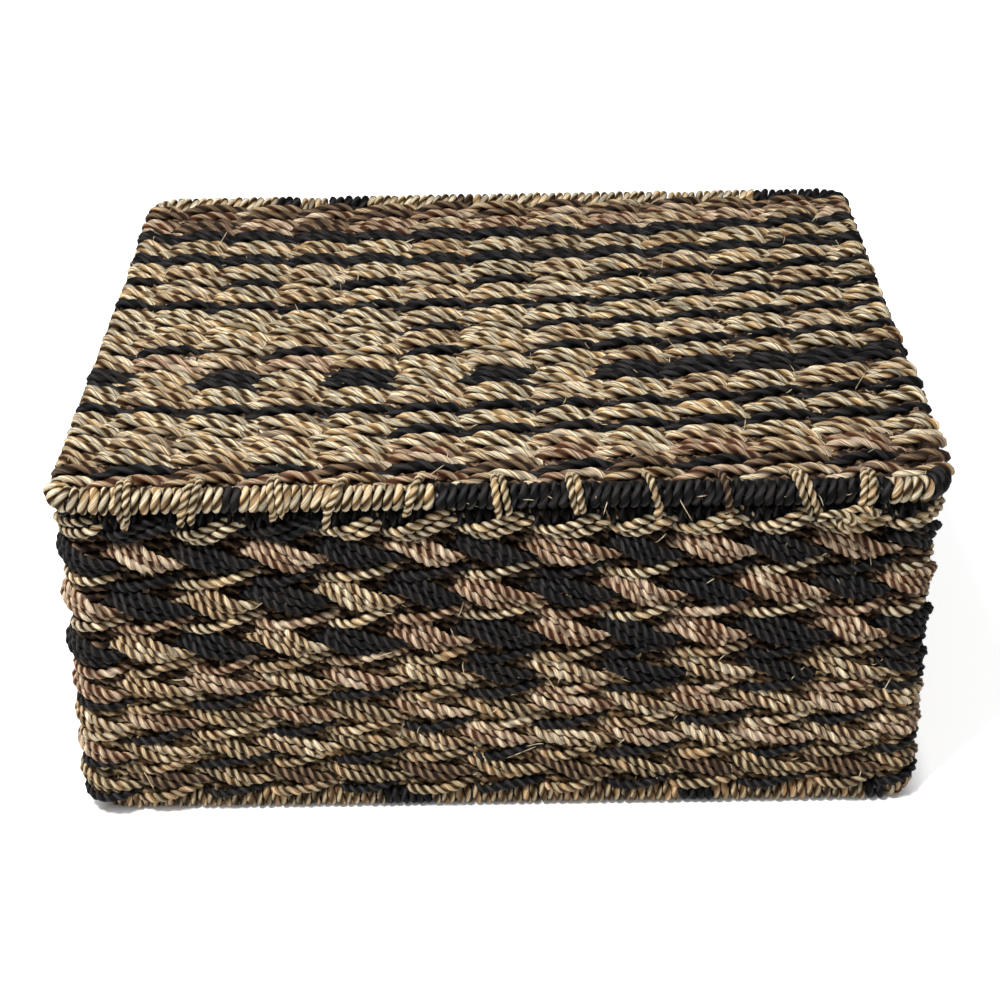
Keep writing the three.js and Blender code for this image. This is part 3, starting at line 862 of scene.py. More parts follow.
def lashing_spans() -> list[Span]:
    """Finds the stretches in X that the two hinge lashings take on the rods."""
    boxes = [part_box(f"hinge_lashing_{side}") for side in ("left", "right")]
    return [(low.x - 0.2 * MM, high.x + 0.2 * MM) for low, high in boxes]


@dataclass
class WeftRow:
    """One row of the wall: its height, how it is twined, and its dyes."""

    height: float
    twine: Twine
    even: DyePlan
    odd: DyePlan


@dataclass
class Body:
    """The box: its frame, stakes, twined walls and floor, and its whipped rings."""

    bend: float = 12 * MM
    stake_pitch: float = 31.75 * MM
    long_stakes: int = 11
    side_stakes: int = 8
    side_pitch: float = 37 * MM
    cord: CordStyle = CordStyle()
    floor_cord: CordStyle = CordStyle(lay=11.8 * MM, steps=5, sides=6)
    whipping: CordStyle = CordStyle(1.95 * MM, 13 * MM, 8, 6, 0.72)
    lashing: CordStyle = CordStyle(1.85 * MM, 11 * MM, 8, 8, 0.88)
    lashing_turns: int = 4
    winding_radius: float = 4.06 * MM
    base_pitch: float = 3.9 * MM
    rail_pitch: float = 4.2 * MM
    floor_twine: Twine = Twine(2, Lean.SLASH, 3.2 * MM, 2.6 * MM, narrowing=0.75)
    floor_pitch: float = 14 * MM
    wall_packing: int = 32
    rim_height: float = 155 * MM
    corner_pull: float = 0.35
    bulge: float = 5 * MM
    bulge_top: float = 150 * MM
    bulge_reach: float = 26 * MM
    sag: float = 7 * MM
    sag_top: float = 156 * MM
    sag_reach: float = 115 * MM

    def __post_init__(self) -> None:
        """Reads the places of the rings and the floor from the frame."""
        self.ring = Ring.read("body_top_ring")
        self.base_z = Ring.read("body_base_ring").z
        low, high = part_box("woven_floor")
        self.floor_z = (low.z + high.z) / 2
        self.floor_front, self.floor_depth = low.y, high.y - low.y
        self.floor_half = high.x
        self.loop = self.counted_loop()

    def counted_loop(self) -> Route:
        """Makes the loop that the wall rows follow, with its supports counted from the front left post.

        Returns:
            The closed route at height 0.
        """
        route = self.ring.loop(self.bend, 1.25 * MM)
        lost = (2 - QUARTER) * self.bend
        wide, deep = 2 * self.ring.half_width - lost, self.ring.back - self.ring.front - lost
        ends = np.cumsum([0.0, wide, deep, wide, deep])
        stakes = [(self.long_stakes, self.stake_pitch), (self.side_stakes, self.side_pitch)] * 2
        places = [0.0]
        for start, end, (count, pitch) in zip(ends, ends[1:], stakes):
            places += [*((start + end) / 2 + (np.arange(count) - (count - 1) / 2) * pitch), end]
        scale = route.length / ends[-1]
        route.support = np.interp(route.distance, np.array(places) * scale, np.arange(len(places)))
        return route

    def weft_rows(self) -> list[WeftRow]:
        """Lists the wall's rows from the rim down.

        Returns:
            The rows: thick rows of three cords over thin rows of one, then even rows near the base.
        """
        rise, fall = Lean.SLASH, Lean.BACKSLASH
        rim, foot = Twine(2, rise, 6.4 * MM, 3.8 * MM), Twine(1, rise, 5.6 * MM)
        thick, thin = Twine(3, fall, 5.4 * MM, 4.3 * MM, 4.5 * MM), Twine(1, rise)
        even = Twine(2, fall, 4.8 * MM, 3.6 * MM, 5.0 * MM)
        brown_then_black = plan(CHESTNUT, (6, BLACK), (12, CHESTNUT))
        rows = [
            (154.8, rim, plan(STRAW), plan(BLACK, (5, STRAW), (14, BLACK))),
            (141.5, thick, plan(BLACK), plan(CHESTNUT)),
            (130.5, thin, plan(STRAW), plan(BLACK)),
            (119.8, thick, plan(HONEY, (6, CHESTNUT)), plan(BLACK)),
            (108.5, thin, plan(STRAW), plan(CHESTNUT)),
            (97.5, thick, plan(BLACK), plan(HONEY, (5, CHESTNUT))),
            (86.5, thin, brown_then_black, plan(KHAKI)),
            (76.5, even, brown_then_black, plan(HONEY)),
            (67.0, thin, plan(BLACK), plan(KHAKI, (6, CHESTNUT))),
            (58.0, even, plan(KHAKI, (7, HONEY)), plan(CHESTNUT)),
            (48.5, thin, plan(HONEY), plan(BLACK)),
            (40.0, even, plan(KHAKI, (6, CHESTNUT)), plan(HONEY)),
            (31.0, thin, plan(BLACK), plan(KHAKI)),
            (22.0, even, plan(KHAKI), plan(UMBER)),
            (12.6, foot, plan(BLACK), plan(KHAKI)),
        ]
        return [WeftRow(height * MM, *rest) for height, *rest in rows]

    def weave_walls(self) -> None:
        """Twines the walls in bands of two or three rows, with dark packing cords behind them that paint the
        shade in the gaps.
        """
        rows, loop = self.weft_rows(), self.loop
        walls = [f"woven_wall_{side}" for side in ("front", "right", "back", "left")]
        corner = 2 * np.abs(loop.outward[:, :1] * loop.outward[:, 1:2])
        for number, (first, last) in enumerate([(0, 2), (2, 4), (4, 6), (6, 9), (9, 12), (12, 15)], start=1):
            skein = Skein(f"wall_rows_{number}", self.cord, 100 + number)
            for row in rows[first:last]:
                route = loop.raised(row.height)
                wander = skein.drift.along(route.distance, route.length, 0.9 * MM, 120 * MM)
                route.centre = route.centre + wander[:, None] * Z + self.corner_shift(row.height)
                pull = self.corner_pull * corner * (row.height / self.rim_height) ** 2
                route.outward = route.outward * (1 - pull)
                TwinedRow(route, row.twine, row.even, row.odd).lay_on(skein)
            skein.piece("body", "body_weave", *walls)
        # The packing cords paint the shade in the gaps between the rows: umber, and khaki low down where the
        # gaps look lighter
        packing = Skein("wall_shade_packing_cords", PACKING, 150)
        change = 80 * MM
        for height in np.linspace(rows[-1].height, rows[0].height, self.wall_packing):
            centre = loop.raised(height).centre + (3.0 * corner - 0.5) * MM * loop.outward
            packing.lay(centre + self.corner_shift(height), UMBER if height > change else KHAKI, closed=True)
        packing.piece("body", "body_weave", *walls)

    def corner_shift(self, height: float) -> np.ndarray:
        """Works out how the rows stand out low down and sag half way up, at the front left corner.

        Args:
            height: The row's height.

        Returns:
            The offset of each point of the loop.
        """
        loop = self.loop
        near = np.minimum(loop.distance, loop.length - loop.distance)
        most_out = self.bulge * (1 - min(height / self.bulge_top, 1))
        most_down = self.sag * math.sin(math.pi * min(height / self.sag_top, 1))
        out = most_out * np.exp(-(near / self.bulge_reach) ** 2)
        down = most_down * np.exp(-(near / self.sag_reach) ** 2)
        return out[:, None] * loop.outward - down[:, None] * Z

    def weave_floor(self) -> None:
        """Twines the floor's rows from left to right on the long stakes, with packing cords as painted shade
        in the gaps.
        """
        skein = Skein("floor_rows", self.floor_cord, 200)
        # Umber packing cords between the rows, and khaki loops round the edge, paint the shade in the gaps
        packing = Skein("floor_shade_packing_cords", PACKING, 210)
        count = round((self.floor_depth - self.floor_pitch) / self.floor_pitch)
        step = self.floor_depth / (count + 0.5)
        half = self.floor_half - 5 * MM
        x = np.arange(-half, half + MM, 2 * MM)
        support = x / self.stake_pitch + (self.long_stakes + 1) / 2
        twines = [replace(self.floor_twine, lean=lean) for lean in (Lean.BACKSLASH, Lean.SLASH)]
        dyes, shares = (KHAKI, HONEY, CHESTNUT, BLACK), (0.45, 0.25, 0.15, 0.15)
        for index in range(count):
            y = self.floor_front + step * (index + 0.75)
            route = Route.steady(trace(x, y, self.floor_z), -Z, Y, support)
            even, odd = (plan(dyes[pick]) for pick in skein.drift.random.choice(4, 2, p=shares))
            TwinedRow(route, twines[index % 2], even, odd, (1.0, 1.0)).lay_on(skein)
            if index + 1 < count:
                packing.lay(trace(x, y + step / 2, self.floor_z), UMBER)
        for inset in (6.4 * MM, 11.2 * MM):
            edge = self.ring.loop(self.bend, 2 * MM, inset).raised(self.floor_z + 0.5 * MM)
            packing.lay(edge.centre, KHAKI, closed=True)
        for done in (skein, packing):
            done.piece("body", "body_weave", "woven_floor")

    def whip_rings(self) -> None:
        """Winds the base ring and the top rail."""
        patches = plan(KHAKI, (4.2, BLACK), (4.9, KHAKI), (8.6, BLACK), (9.1, KHAKI), (11.4, BLACK),
                       (11.7, HONEY), (12.3, BLACK), (13.0, KHAKI), (25.0, BLACK), (26.0, KHAKI))
        base = Winding(self.loop.raised(self.base_z), self.winding_radius, self.base_pitch, patches)
        base.piece(Skein("base_ring_whipping", self.whipping, 300), "body", "natural_cord",
                   *(f"base_whipping_{side}" for side in ("front", "back", "right", "left")))
        rail = Winding(self.loop.raised(self.ring.z), self.winding_radius, self.rail_pitch, plan(BLACK),
                       self.lashing_gaps())
        parts = ("front", "right", "left", "back_middle", "back_right", "back_left")
        rail.piece(Skein("top_rail_whipping", self.whipping, 301), "body", "black_cord",
                   *(f"rail_whipping_{part}" for part in parts))

    def lashing_gaps(self) -> tuple[Span, ...]:
        """Finds the stretches of the rail that the hinge lashings take, as distances along the loop.

        Returns:
            The start and end of each gap.
        """
        x, at_back = self.loop.centre[:, 0], self.loop.outward[:, 1] > 0.99
        inside = [np.flatnonzero(at_back & (low < x) & (x < high)) for low, high in lashing_spans()]
        return tuple(tuple(self.loop.distance[points[[0, -1]]]) for points in inside)

    def lash_hinges(self) -> None:
        """Winds the two hinge lashings round the lid's back rod and the body's top rail."""
        thick, edge, steps = 1.6 * MM, 1.9 * MM, 40
        turned = np.arange(self.lashing_turns * steps + 1) / steps
        stepped = np.floor(turned) + np.clip((turned % 1 - 0.55) / 0.45, 0, 1)
        across = np.minimum(stepped / (self.lashing_turns - 1), 1)
        for side in ("left", "right"):
            low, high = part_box(f"hinge_lashing_{side}")
            radius = (high.y - low.y) / 2 - thick
            top, bottom = high.z - thick - radius, low.z + thick + radius
            half = math.pi * radius / (math.pi * radius + top - bottom) / 2
            y, z = self.stadium((turned + 0.5 * half + 0.75) % 1.0, radius, top, bottom)
            x = low.x + edge + (high.x - low.x - 2 * edge) * across
            skein = Skein(f"hinge_lashing_cord_{side}", self.lashing, 310)
            skein.lay(trace(x, (low.y + high.y) / 2 + y, z), STRAW)
            skein.piece("body", "natural_cord", f"hinge_lashing_{side}")

    @staticmethod
    def stadium(share: np.ndarray, radius: float, top: float, bottom: float) -> tuple[np.ndarray, np.ndarray]:
        """Works out points on a loop round two rods, one above the other.

        Args:
            share: How far round each point is, 0 to 1, from the top rod's back.
            radius: Radius of the loop's ends.
            top: Height of the upper rod.
            bottom: Height of the lower rod.

        Returns:
            Y from the rods' middle, and Z.
        """
        bow, run = math.pi * radius, top - bottom
        at = share * 2 * (bow + run)
        over, under = at / radius, math.pi + (at - bow - run) / radius
        where = [at < bow, at < bow + run, at < 2 * bow + run]
        y = np.select(where, [radius * np.cos(over), -radius, radius * np.cos(under)], radius)
        z = np.select(where, [top + radius * np.sin(over), top - (at - bow), bottom + radius * np.sin(under)],
                      bottom + (at - 2 * bow - run))
        return y, z

    def build(self) -> None:
        """Builds and dresses the whole body."""
        self.weave_walls()
        self.weave_floor()
        self.whip_rings()
        self.lash_hinges()


@dataclass
class LidRow:
    """One row of the lid: where its middle lies front to back, its cords and its dyes."""

    y: float
    cords: int
    even: DyePlan
    odd: DyePlan


@dataclass(frozen=True)
class Hook:
    """How a lid stake ends on the front rod: its stray sideways, its tail, its strands and its dye."""

    stray: float
    tail: float
    strands: int = 2
    dye: Dye = STRAW


@dataclass
class Lid:
    """The lid: its ring, hooked stakes, twined panel and whipped rods."""

    stakes: int = 11
    bend: float = 12 * MM
    cord: CordStyle = CordStyle(2.65 * MM, 20.0 * MM, 12, 8, 0.5, 0.7)
    whipping: CordStyle = CordStyle(2.2 * MM, 16 * MM, 10, 8, 0.78)
    hook_cord: CordStyle = CordStyle(1.95 * MM, 8.5 * MM, 7, 6, 0.6)
    thin: Twine = Twine(1, Lean.SLASH, 3.3 * MM, 2.7 * MM, shift_out=1.0 * MM)
    thick: Twine = Twine(3, Lean.BACKSLASH, 2.7 * MM, 1.5 * MM, 5.0 * MM, 0.85, 1.0 * MM, 0.6, 1.0 * MM)
    thin_room: float = 4.6 * MM
    packing: int = 73
    side_pitch: float = 5.2 * MM
    winding_radius: float = 4.06 * MM
    front_pitch: float = 4.5 * MM
    back_pitch: float = 4.2 * MM
    front_change: float = -26.5 * MM
    front_slant: float = 0.45
    back_slant: float = 0.3
    bow_slope: float = 9 * MM
    bow_depth: float = 13 * MM
    bow_end: float = 165 * MM
    left_reach: Table = ((-0.15, 0.06, 0.15), (0.4, 0.4, 0.9))
    right_reach: Table = ((-0.15, -0.09, -0.03, 0.12), (1.5, 1.5, 0.9, 0.4))
    hook_reach: float = 7.9 * MM
    tail_reach: float = 7.6 * MM
    strand_gap: float = 3.6 * MM

    def __post_init__(self) -> None:
        """Reads the places of the rods from the frame."""
        self.ring = Ring.read("lid_ring")
        self.pitch = 2 * self.ring.half_width / (self.stakes + 1)

    def rows(self) -> list[LidRow]:
        """Lists the lid's rows from the back to the front.

        Returns:
            The rows: straw rows of three cords between black rows of one, with a checkered row of both.
        """
        late_black = plan(STRAW, (7, BLACK))
        rows = [
            # The darker dyes of the back rows are partly the rush's own colours and partly painted shade, as
            # the light falls off towards the back
            (158, 1, plan(HONEY), plan(UMBER)),
            (147.5, 1, plan(UMBER), plan(CHESTNUT)),
            (133, 3, plan(CHESTNUT), plan(UMBER, (4, HONEY))),
            (118, 2, plan(BLACK), plan(BLACK)),
            (102, 3, plan(STRAW), plan(KHAKI)),
            (85.5, 2, plan(BLACK), plan(BLACK)),
            (70.5, 3, plan(STRAW), plan(HONEY)),
            (55.5, 1, plan(BLACK), late_black),
            (41, 3, plan(STRAW), plan(HONEY)),
            (26.5, 1, plan(BLACK), plan(BLACK)),
            (12.5, 3, plan(STRAW), plan(STRAW)),
            (-1, 1, late_black, plan(STRAW, (3, BLACK))),
            (-14, 3, plan(STRAW), plan(HONEY)),
            (-27.5, 1, late_black, plan(HONEY, (1, BLACK))),
            (-40, 2, plan(HONEY), plan(CHESTNUT, (4, STRAW))),
            (-57, 3, plan(BLACK), plan(STRAW, (9, BLACK))),
            (-75.5, 3, plan(STRAW), plan(HONEY)),
            (-89.5, 1, plan(BLACK), plan(BLACK)),
            (-101, 2, plan(STRAW), plan(STRAW)),
            (-112, 1, plan(STRAW, (5, BLACK)), plan(HONEY, (3, BLACK))),
            (-123, 2, plan(STRAW), plan(HONEY)),
            (-136, 2, plan(HONEY), plan(STRAW, (4, CHESTNUT))),
            (-147.5, 1, plan(UMBER), plan(BLACK)),
            (-156.5, 1, plan(HONEY), plan(CHESTNUT)),
        ]
        return [LidRow(y * MM, *rest) for y, *rest in rows]

    def bow(self, x: np.ndarray, y: float) -> np.ndarray:
        """Works out how far a row bows towards the back, as the hand-pulled rows of the lid do.

        Args:
            x: Places along the row.
            y: The row's middle.

        Returns:
            The offset at each place.
        """
        share = x / self.ring.half_width
        pull = self.bow_slope * share + self.bow_depth * share ** 2
        return pull * (1 - abs(y / self.bow_end) ** 3)

    def weave_panel(self) -> None:
        """Twines the lid's rows in four bands, with umber packing cords between them and round the side rods
        as painted shade.
        """
        rows, ring = self.rows(), self.ring
        x = np.arange(-ring.half_width, ring.half_width + 0.5 * MM, MM)
        for number, (first, last) in enumerate([(0, 6), (6, 12), (12, 17), (17, 24)], start=1):
            skein = Skein(f"lid_rows_{number}", self.cord, 400 + number)
            for index in range(first, last):
                self.lay_row(skein, rows, index, x)
            skein.piece("lid", "lid_weave", "lid_woven_panel")
        # Umber packing cords between the rows paint the shade in the gaps
        packing = Skein("lid_shade_packing_cords", PACKING, 410)
        for y in np.linspace(ring.front + 9 * MM, ring.back - 11.5 * MM, self.packing):
            packing.lay(trace(x, y + self.bow(x, y), ring.z), UMBER)
        # Umber windings round the side rods paint the shade at the rows' ends
        y = np.arange(ring.front + self.bend, ring.back - self.bend, MM)
        for side in (-1, 1):
            rod = Route.steady(trace(side * ring.half_width, y, ring.z), side * X, Z, y)
            radius = (2.4 + 0.6 * side) * MM
            Winding(rod, radius, self.side_pitch, plan(UMBER), steps=12).lay_on(packing)
        packing.piece("lid", "lid_weave", "lid_woven_panel")

    def lay_row(self, skein: Skein, rows: list[LidRow], index: int, x: np.ndarray) -> None:
        """Twines one row, its cords spread so that they meet the rows beside it.

        Args:
            skein: The piece.
            rows: All the lid's rows.
            index: Which of them to lay.
            x: Places along it.
        """
        row = rows[index]
        wander = skein.drift.along(x - x[0], 2 * self.ring.half_width, 0.8 * MM, 130 * MM)
        centre = trace(x, row.y + self.bow(x, row.y) + wander, self.ring.z)
        route = Route.steady(centre, Z, Y, x / self.pitch + (self.stakes + 1) / 2)
        ends = tuple(float(np.interp(row.y, *table)) for table in (self.left_reach, self.right_reach))
        twine = self.thin
        if row.cords > 1:
            room = (rows[index - 1].y - rows[index + 1].y) / 2 - self.thin_room
            spacing = float(np.clip((2 * room - 2 * self.cord.radius) / (row.cords - 1), 5.0 * MM, 6.0 * MM))
            twine = replace(self.thick, cords=row.cords, spacing=spacing)
        TwinedRow(route, twine, row.even, row.odd, ends).lay_on(skein)

    def hooks(self) -> list[Hook]:
        """Lists the hooks from left to right, as uneven as they are in the photograph."""
        return [Hook(-1 * MM, 10 * MM), Hook(-5 * MM, 8 * MM), Hook(2 * MM, 6 * MM),
                Hook(-8 * MM, 12 * MM, 1), Hook(-6 * MM, 6 * MM, 1), Hook(3 * MM, 6.5 * MM),
                Hook(3 * MM, 6 * MM), Hook(6 * MM, 9 * MM, 1), Hook(5 * MM, 6.5 * MM, 1, UMBER),
                Hook(7 * MM, 7 * MM), Hook(-1 * MM, 6.5 * MM)]

    def hook_stakes(self) -> None:
        """Lays the lid's stakes, each hooked over the whipped front rod with its tail hanging."""
        skein = Skein("lid_stake_cords", self.hook_cord, 420)
        for index, hook in enumerate(self.hooks()):
            x = (index - (self.stakes - 1) / 2) * self.pitch
            for strand in range(hook.strands):
                start = self.ring.back - 7 * MM if strand == 0 else self.ring.front + 22 * MM
                aside = (strand - (hook.strands - 1) / 2) * self.strand_gap
                skein.lay(self.hooked(x, start, hook, aside, skein.drift.random), hook.dye)
        skein.lay(self.loose_loop(), STRAW)
        names = [f"lid_stake_{number:02d}" for number in range(1, self.stakes + 1)]
        skein.piece("lid", "natural_cord", *names)

    def hooked(self, x: float, start: float, hook: Hook, aside: float,
               random: np.random.Generator) -> np.ndarray:
        """Works out the line of one strand of a stake.

        Args:
            x: The stake's place.
            start: Y of the strand's far end.
            hook: How its hook lies.
            aside: How far the strand lies beside the hook's middle.
            random: The source of its unevenness.

        Returns:
            The points from its far end to its tail's tip.
        """
        ring, reach = self.ring, self.hook_reach
        run = trace(x, np.linspace(start, ring.front + 20 * MM, 120 if start > 0 else 3), ring.z)
        angles = np.radians(np.linspace(62, random.uniform(196, 214), 20))
        share = np.linspace(0.15, 1, 20)
        uneven = random.uniform(-1, 1) * MM * share ** 2
        stray = hook.stray * share + aside * np.minimum(3 * share, 1) + uneven
        bow = trace(x + stray, ring.front + reach * np.cos(angles), ring.z + reach * np.sin(angles))
        lean = random.uniform(-2.5, 2.5) * MM
        droop = random.uniform(0, 2) * MM
        tip = np.array([bow[-1][0] + lean, ring.front - self.tail_reach, ring.z - hook.tail - droop])
        tail = bow[-1] + np.linspace(0.2, 1.0, 5)[:, None] * (tip - bow[-1])
        return np.vstack([run, bow, tail])

    def loose_loop(self) -> np.ndarray:
        """Works out the loose loop of cord that hangs under the rim on the right.

        Returns:
            Its points.
        """
        turn, swell = np.linspace(-0.6 * math.pi, 2.5 * math.pi, 60), np.linspace(1.0, 1.4, 60)
        loop = trace(4.6 * MM * swell * np.sin(turn) + 1.6 * MM * turn, -1.2 * MM * np.cos(turn / 2),
                     3.4 * MM * swell * np.cos(turn))
        return loop + np.array([147 * MM, self.ring.front - 9.2 * MM, self.ring.z - 9 * MM])

    def rod_route(self, side: int) -> Route:
        """Makes the line of the front or the back rod with its bends.

        Args:
            side: -1 for the front rod, 1 for the back rod.

        Returns:
            The route from left to right, its support counted in metres of X.
        """
        loop = self.ring.loop(self.bend, MM).raised(self.ring.z)
        x, y = loop.centre[:, 0], loop.centre[:, 1]
        edge = self.ring.front + self.bend if side < 0 else self.ring.back - self.bend
        keep = np.flatnonzero(side * (y - edge) > 0)
        rod = loop.at(keep[np.argsort(x[keep] + 1e-3 * side * y[keep])])
        return replace(rod, support=rod.centre[:, 0])

    def whip_rods(self) -> None:
        """Winds the front rod, straw on the left and black on the right, and the back rod."""
        front, back = self.rod_route(-1), self.rod_route(1)
        straw = plan(STRAW, (-119 * MM, BLACK), (-112 * MM, STRAW))
        black = plan(BLACK, (161 * MM, STRAW), (166 * MM, BLACK), (172 * MM, STRAW), (188 * MM, BLACK))
        mixed = plan(STRAW, (-126 * MM, BLACK), (-74 * MM, STRAW), (-24 * MM, UMBER), (-14 * MM, STRAW),
                     (146 * MM, BLACK))
        gaps = tuple(tuple(np.interp(span, back.support, back.distance)) for span in lashing_spans())
        radius, pitch, slant = self.winding_radius, self.front_pitch, self.front_slant
        left = Winding(front.at(front.support <= self.front_change), radius, pitch, straw, slant=slant)
        left.piece(Skein("lid_front_whipping_straw", self.whipping, 430), "lid", "natural_cord",
                   "lid_front_whipping_natural")
        right = Winding(front.at(front.support >= self.front_change), radius, pitch, black, slant=slant)
        right.piece(Skein("lid_front_whipping_dyed", self.whipping, 431), "lid", "black_cord",
                    "lid_front_whipping_black")
        rear = Winding(back, radius, self.back_pitch, mixed, gaps, self.back_slant)
        rear.piece(Skein("lid_back_whipping_cord", self.whipping, 432), "lid", "natural_cord",
                   *(f"lid_back_whipping_{part}" for part in ("middle", "right", "left")))

    def build(self) -> None:
        """Builds and dresses the whole lid."""
        self.weave_panel()
        self.hook_stakes()
        self.whip_rods()


@dataclass
class StrayFibres:
    """Loose fibre ends that stand out of the cords."""

    strand: CordStyle = CordStyle(0.22 * MM, 1.5 * MM, 1, 3, 1.0)
    shortest: float = 1.5 * MM
    longest: float = 4.5 * MM
    lid_count: int = 170
    rim_count: int = 16

    def grow(self, skein: Skein, count: int, low: object, high: object, outward: np.ndarray) -> None:
        """Grows fibres from random places in a box.

        Args:
            skein: The piece that they belong to.
            count: How many.
            low: The box's lowest corner.
            high: Its highest corner.
            outward: The way out of the weave.
        """
        random = skein.drift.random
        for _ in range(count):
            root = random.uniform(np.array(Vector(low)), np.array(Vector(high)))
            aim = random.normal(0.0, 1.0, 3)
            aim += (0.4 - aim @ outward) * outward
            aim /= np.linalg.norm(aim)
            bend = random.normal(0.0, 1.0, 3)
            share = np.linspace(0, 1, 7)[:, None]
            length = random.uniform(self.shortest, self.longest)
            skein.lay(root + length * (share * aim + share ** 2 * bend), FRAY)

    def build(self) -> None:
        """Grows the fibres of the walls, the rim and the lid."""
        body = Skein("wall_fibres", self.strand, 500)
        for side, outward, count in (("front", -Y, 110), ("back", Y, 50), ("left", -X, 50), ("right", X, 50)):
            low, high = (np.array(corner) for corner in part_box(f"woven_wall_{side}"))
            half = (high - low) / 2
            place = (low + high) / 2 + half * outward * 0.75
            reach = half * (1 - np.abs(outward)) * 0.97
            self.grow(body, count, place - reach, place + reach, outward)
        body.piece("body", "body_weave")
        lid = Skein("lid_fibres", self.strand, 501)
        low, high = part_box("lid_woven_panel")
        self.grow(lid, self.lid_count, (low.x, low.y, high.z - 1.5 * MM), high, Z)
        low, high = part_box("lid_ring")
        self.grow(lid, self.rim_count, (low.x, low.y - 4.5 * MM, low.z),
                  (high.x, low.y - 2.5 * MM, high.z + MM), -Y)
        lid.piece("lid", "lid_weave")


@dataclass(frozen=True)
class WireFinish:
    """Finish of the frame's drawn steel wire, dulled and slightly stained."""

    name: str = "drawn_wire"
    bright: Colour = (0.15, 0.14, 0.13)
    stained: Colour = (0.06, 0.045, 0.035)

    def material(self) -> bpy.types.Material:
        """Builds the material.

        Returns:
            The new material.
        """
        material, nodes, shader = Nodes.start(self.name)
        stain = nodes.ramp(nodes.noise(nodes.add("TexCoord").outputs["Object"], 160.0, 4.0), 0.42, 0.66)
        nodes.settle(shader, Metallic=0.85, Base_Color=nodes.mix(stain, self.bright, self.stained),
                     Roughness=nodes.ramp(stain, 0.0, 1.0, 0.6, 0.8))
        return material


@dataclass(frozen=True)
class StakeFinishAndShading:
    """Stakes inside the weave: straw rush with slanting plies painted as light bands and shaded grooves, read
    in object space.
    """

    name: str = "stake_rush_and_shading"
    # light: the plies' colour; dark: painted shade in the grooves between the plies, and the colour of the
    # mottling
    light: Colour = srgb(206, 180, 132)
    dark: Colour = srgb(84, 62, 38)

    def material(self) -> bpy.types.Material:
        """Builds the material.

        Returns:
            The new material.
        """
        material, nodes, shader = Nodes.start(self.name)
        where = nodes.add("TexCoord").outputs["Object"]
        bands = nodes.add("TexWave", bands_direction="DIAGONAL", Vector=where, Scale=58.0, Distortion=1.5,
                          Detail=1.0).outputs["Fac"]
        mottle = nodes.ramp(nodes.noise(where, 90.0, 3.0), 0.3, 0.7, 0.0, 0.5)
        # Painted ply relief: light bands for the plies and painted shade in the grooves between them; the
        # mottle is the rush's own
        plies = nodes.mix(nodes.ramp(bands, 0.15, 0.7), self.dark, self.light)
        bump = nodes.add("Bump", Strength=0.5, Distance=0.4 * MM, Height=bands)
        nodes.settle(shader, Base_Color=nodes.mix(mottle, plies, self.dark), Roughness=0.7,
                     Normal=bump.outputs["Normal"])
        return material


def dress_cad_nodes() -> None:
    """Gives the wire frame and the stakes inside the weave their materials."""
    wire, stake = WireFinish().material(), StakeFinishAndShading().material()
    for name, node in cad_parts.items():
        is_wire = name.endswith("_ring") or name.startswith("corner_post")
        node.data.materials.clear()
        node.data.materials.append(wire if is_wire else stake)


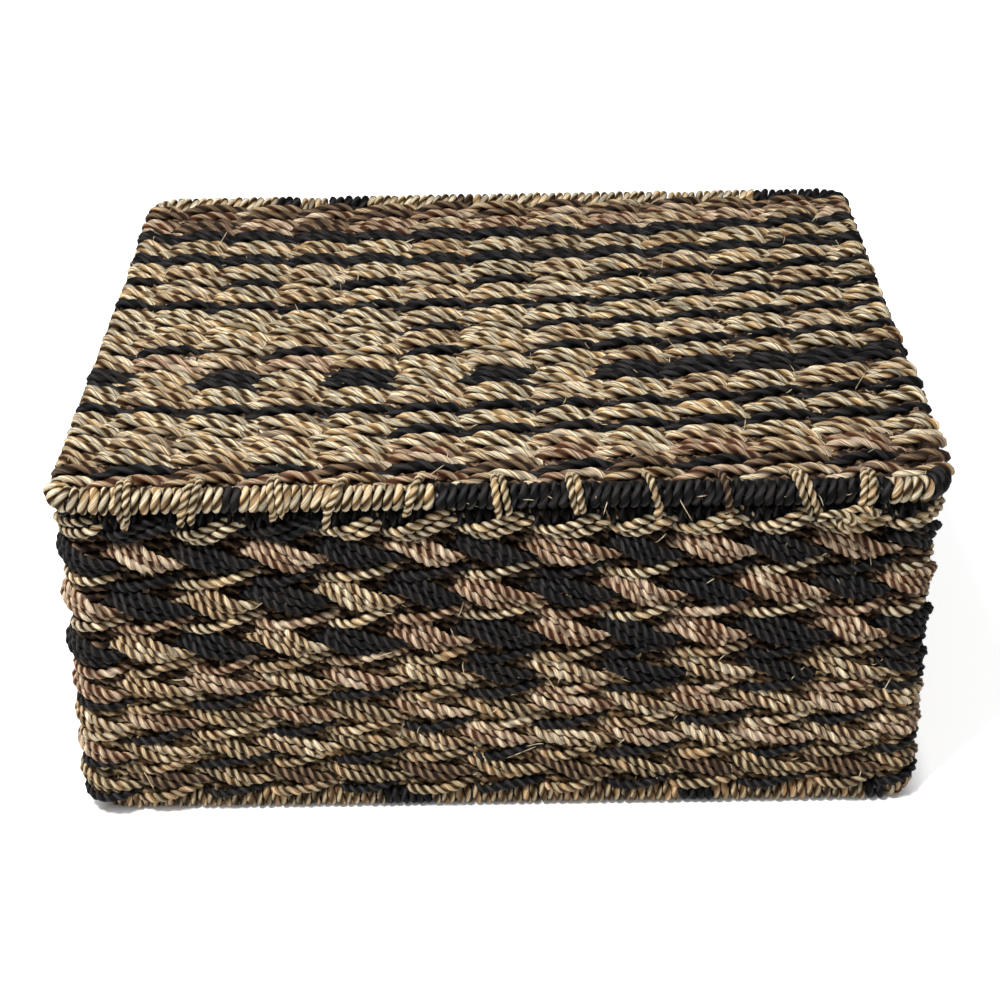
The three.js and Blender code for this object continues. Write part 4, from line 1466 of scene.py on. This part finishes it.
@dataclass
class Studio:
    """Camera, lamps, backdrop and floor."""

    camera_place: tuple[float, float, float] = (0.0118, -0.9763, 0.6307)
    camera_turn: tuple[float, float, float] = (60.224, 1.027, 0.131)
    lens: float = 76.93
    footprint: tuple[float, float] = (0.194, 0.169)
    sky: float = 0.34
    key_watts: float = 31.6
    fill_watts: float = 2.5
    floor_reach: float = 6.0

    def build(self) -> None:
        """Sets up the whole studio."""
        self.add_camera()
        self.add_lamp("key", (-0.42, -0.64, 1.38), 0.3, self.key_watts)
        self.add_lamp("fill", (0.9, -1.1, 0.6), 0.9, self.fill_watts)
        self.add_world()
        self.add_floor()
        bpy.context.scene.view_settings.view_transform = "Standard"

    def add_camera(self) -> None:
        """Adds the camera at the photograph's viewing angle."""
        data = bpy.data.cameras.new("camera")
        data.sensor_width = 36.0
        data.lens = self.lens
        camera = stand("camera", data)
        camera.location = self.camera_place
        camera.rotation_euler = [math.radians(angle) for angle in self.camera_turn]
        bpy.context.scene.camera = camera

    def add_lamp(self, name: str, place: tuple[float, float, float], size: float, watts: float) -> None:
        """Adds a square lamp that points at the basket.

        Args:
            name: The lamp's name.
            place: Where it hangs.
            size: Its side.
            watts: Its power.
        """
        data = bpy.data.lights.new(name, "AREA")
        data.size = size
        data.energy = watts
        lamp = stand(name, data)
        lamp.location = place
        aim = Vector((0.0, 0.0, 0.08)) - Vector(place)
        lamp.rotation_euler = aim.to_track_quat("-Z", "Y").to_euler()

    def add_world(self) -> None:
        """Adds a white backdrop that lights the basket softly."""
        world = bpy.data.worlds.new("backdrop")
        world.use_nodes = True
        nodes = Nodes(world.node_tree)
        rays = nodes.add("LightPath").outputs
        seen = nodes.math("MAXIMUM", rays["Is Camera Ray"], rays["Is Transmission Ray"])
        nodes.settle(world.node_tree.nodes["Background"], Color=WHITE,
                     Strength=nodes.ramp(seen, 0.0, 1.0, self.sky, 1.0))
        bpy.context.scene.world = world

    def add_floor(self) -> None:
        """Adds the pale floor, white to the camera but for the basket's shadow."""
        mesh = bpy.data.meshes.new("floor")
        bm = bmesh.new()
        bmesh.ops.create_grid(bm, x_segments=1, y_segments=1, size=self.floor_reach)
        bm.to_mesh(mesh)
        bm.free()
        material, nodes, shader = Nodes.start("pale_floor")
        x, y, _ = nodes.add("SeparateXYZ", Vector=nodes.add("TexCoord").outputs["Object"]).outputs
        aside, ahead = (nodes.math("SUBTRACT", nodes.math("ABSOLUTE", place), half)
                        for place, half in zip((x, y), self.footprint))
        clear = nodes.ramp(nodes.math("MAXIMUM", aside, ahead), -0.01, 0.015, 0.0, 0.72)
        behind = nodes.add("NewGeometry").outputs["Backfacing"]
        nodes.settle(shader, Base_Color=(0.85, 0.85, 0.85), Roughness=0.9, Emission_Color=WHITE,
                     Emission_Strength=nodes.times(nodes.add("LightPath").outputs["Is Camera Ray"], clear),
                     Alpha=nodes.math("SUBTRACT", 1.0, behind))
        mesh.materials.append(material)
        floor = stand("floor", mesh)


def main() -> None:
    """Builds the studio, the body and the lid, and dresses what the frame keeps."""
    logging.basicConfig(level=logging.INFO, format="%(name)s: %(message)s")
    Studio().build()
    dress_cad_nodes()
    Body().build()
    Lid().build()
    StrayFibres().build()


if __name__ == "__main__":
    main()
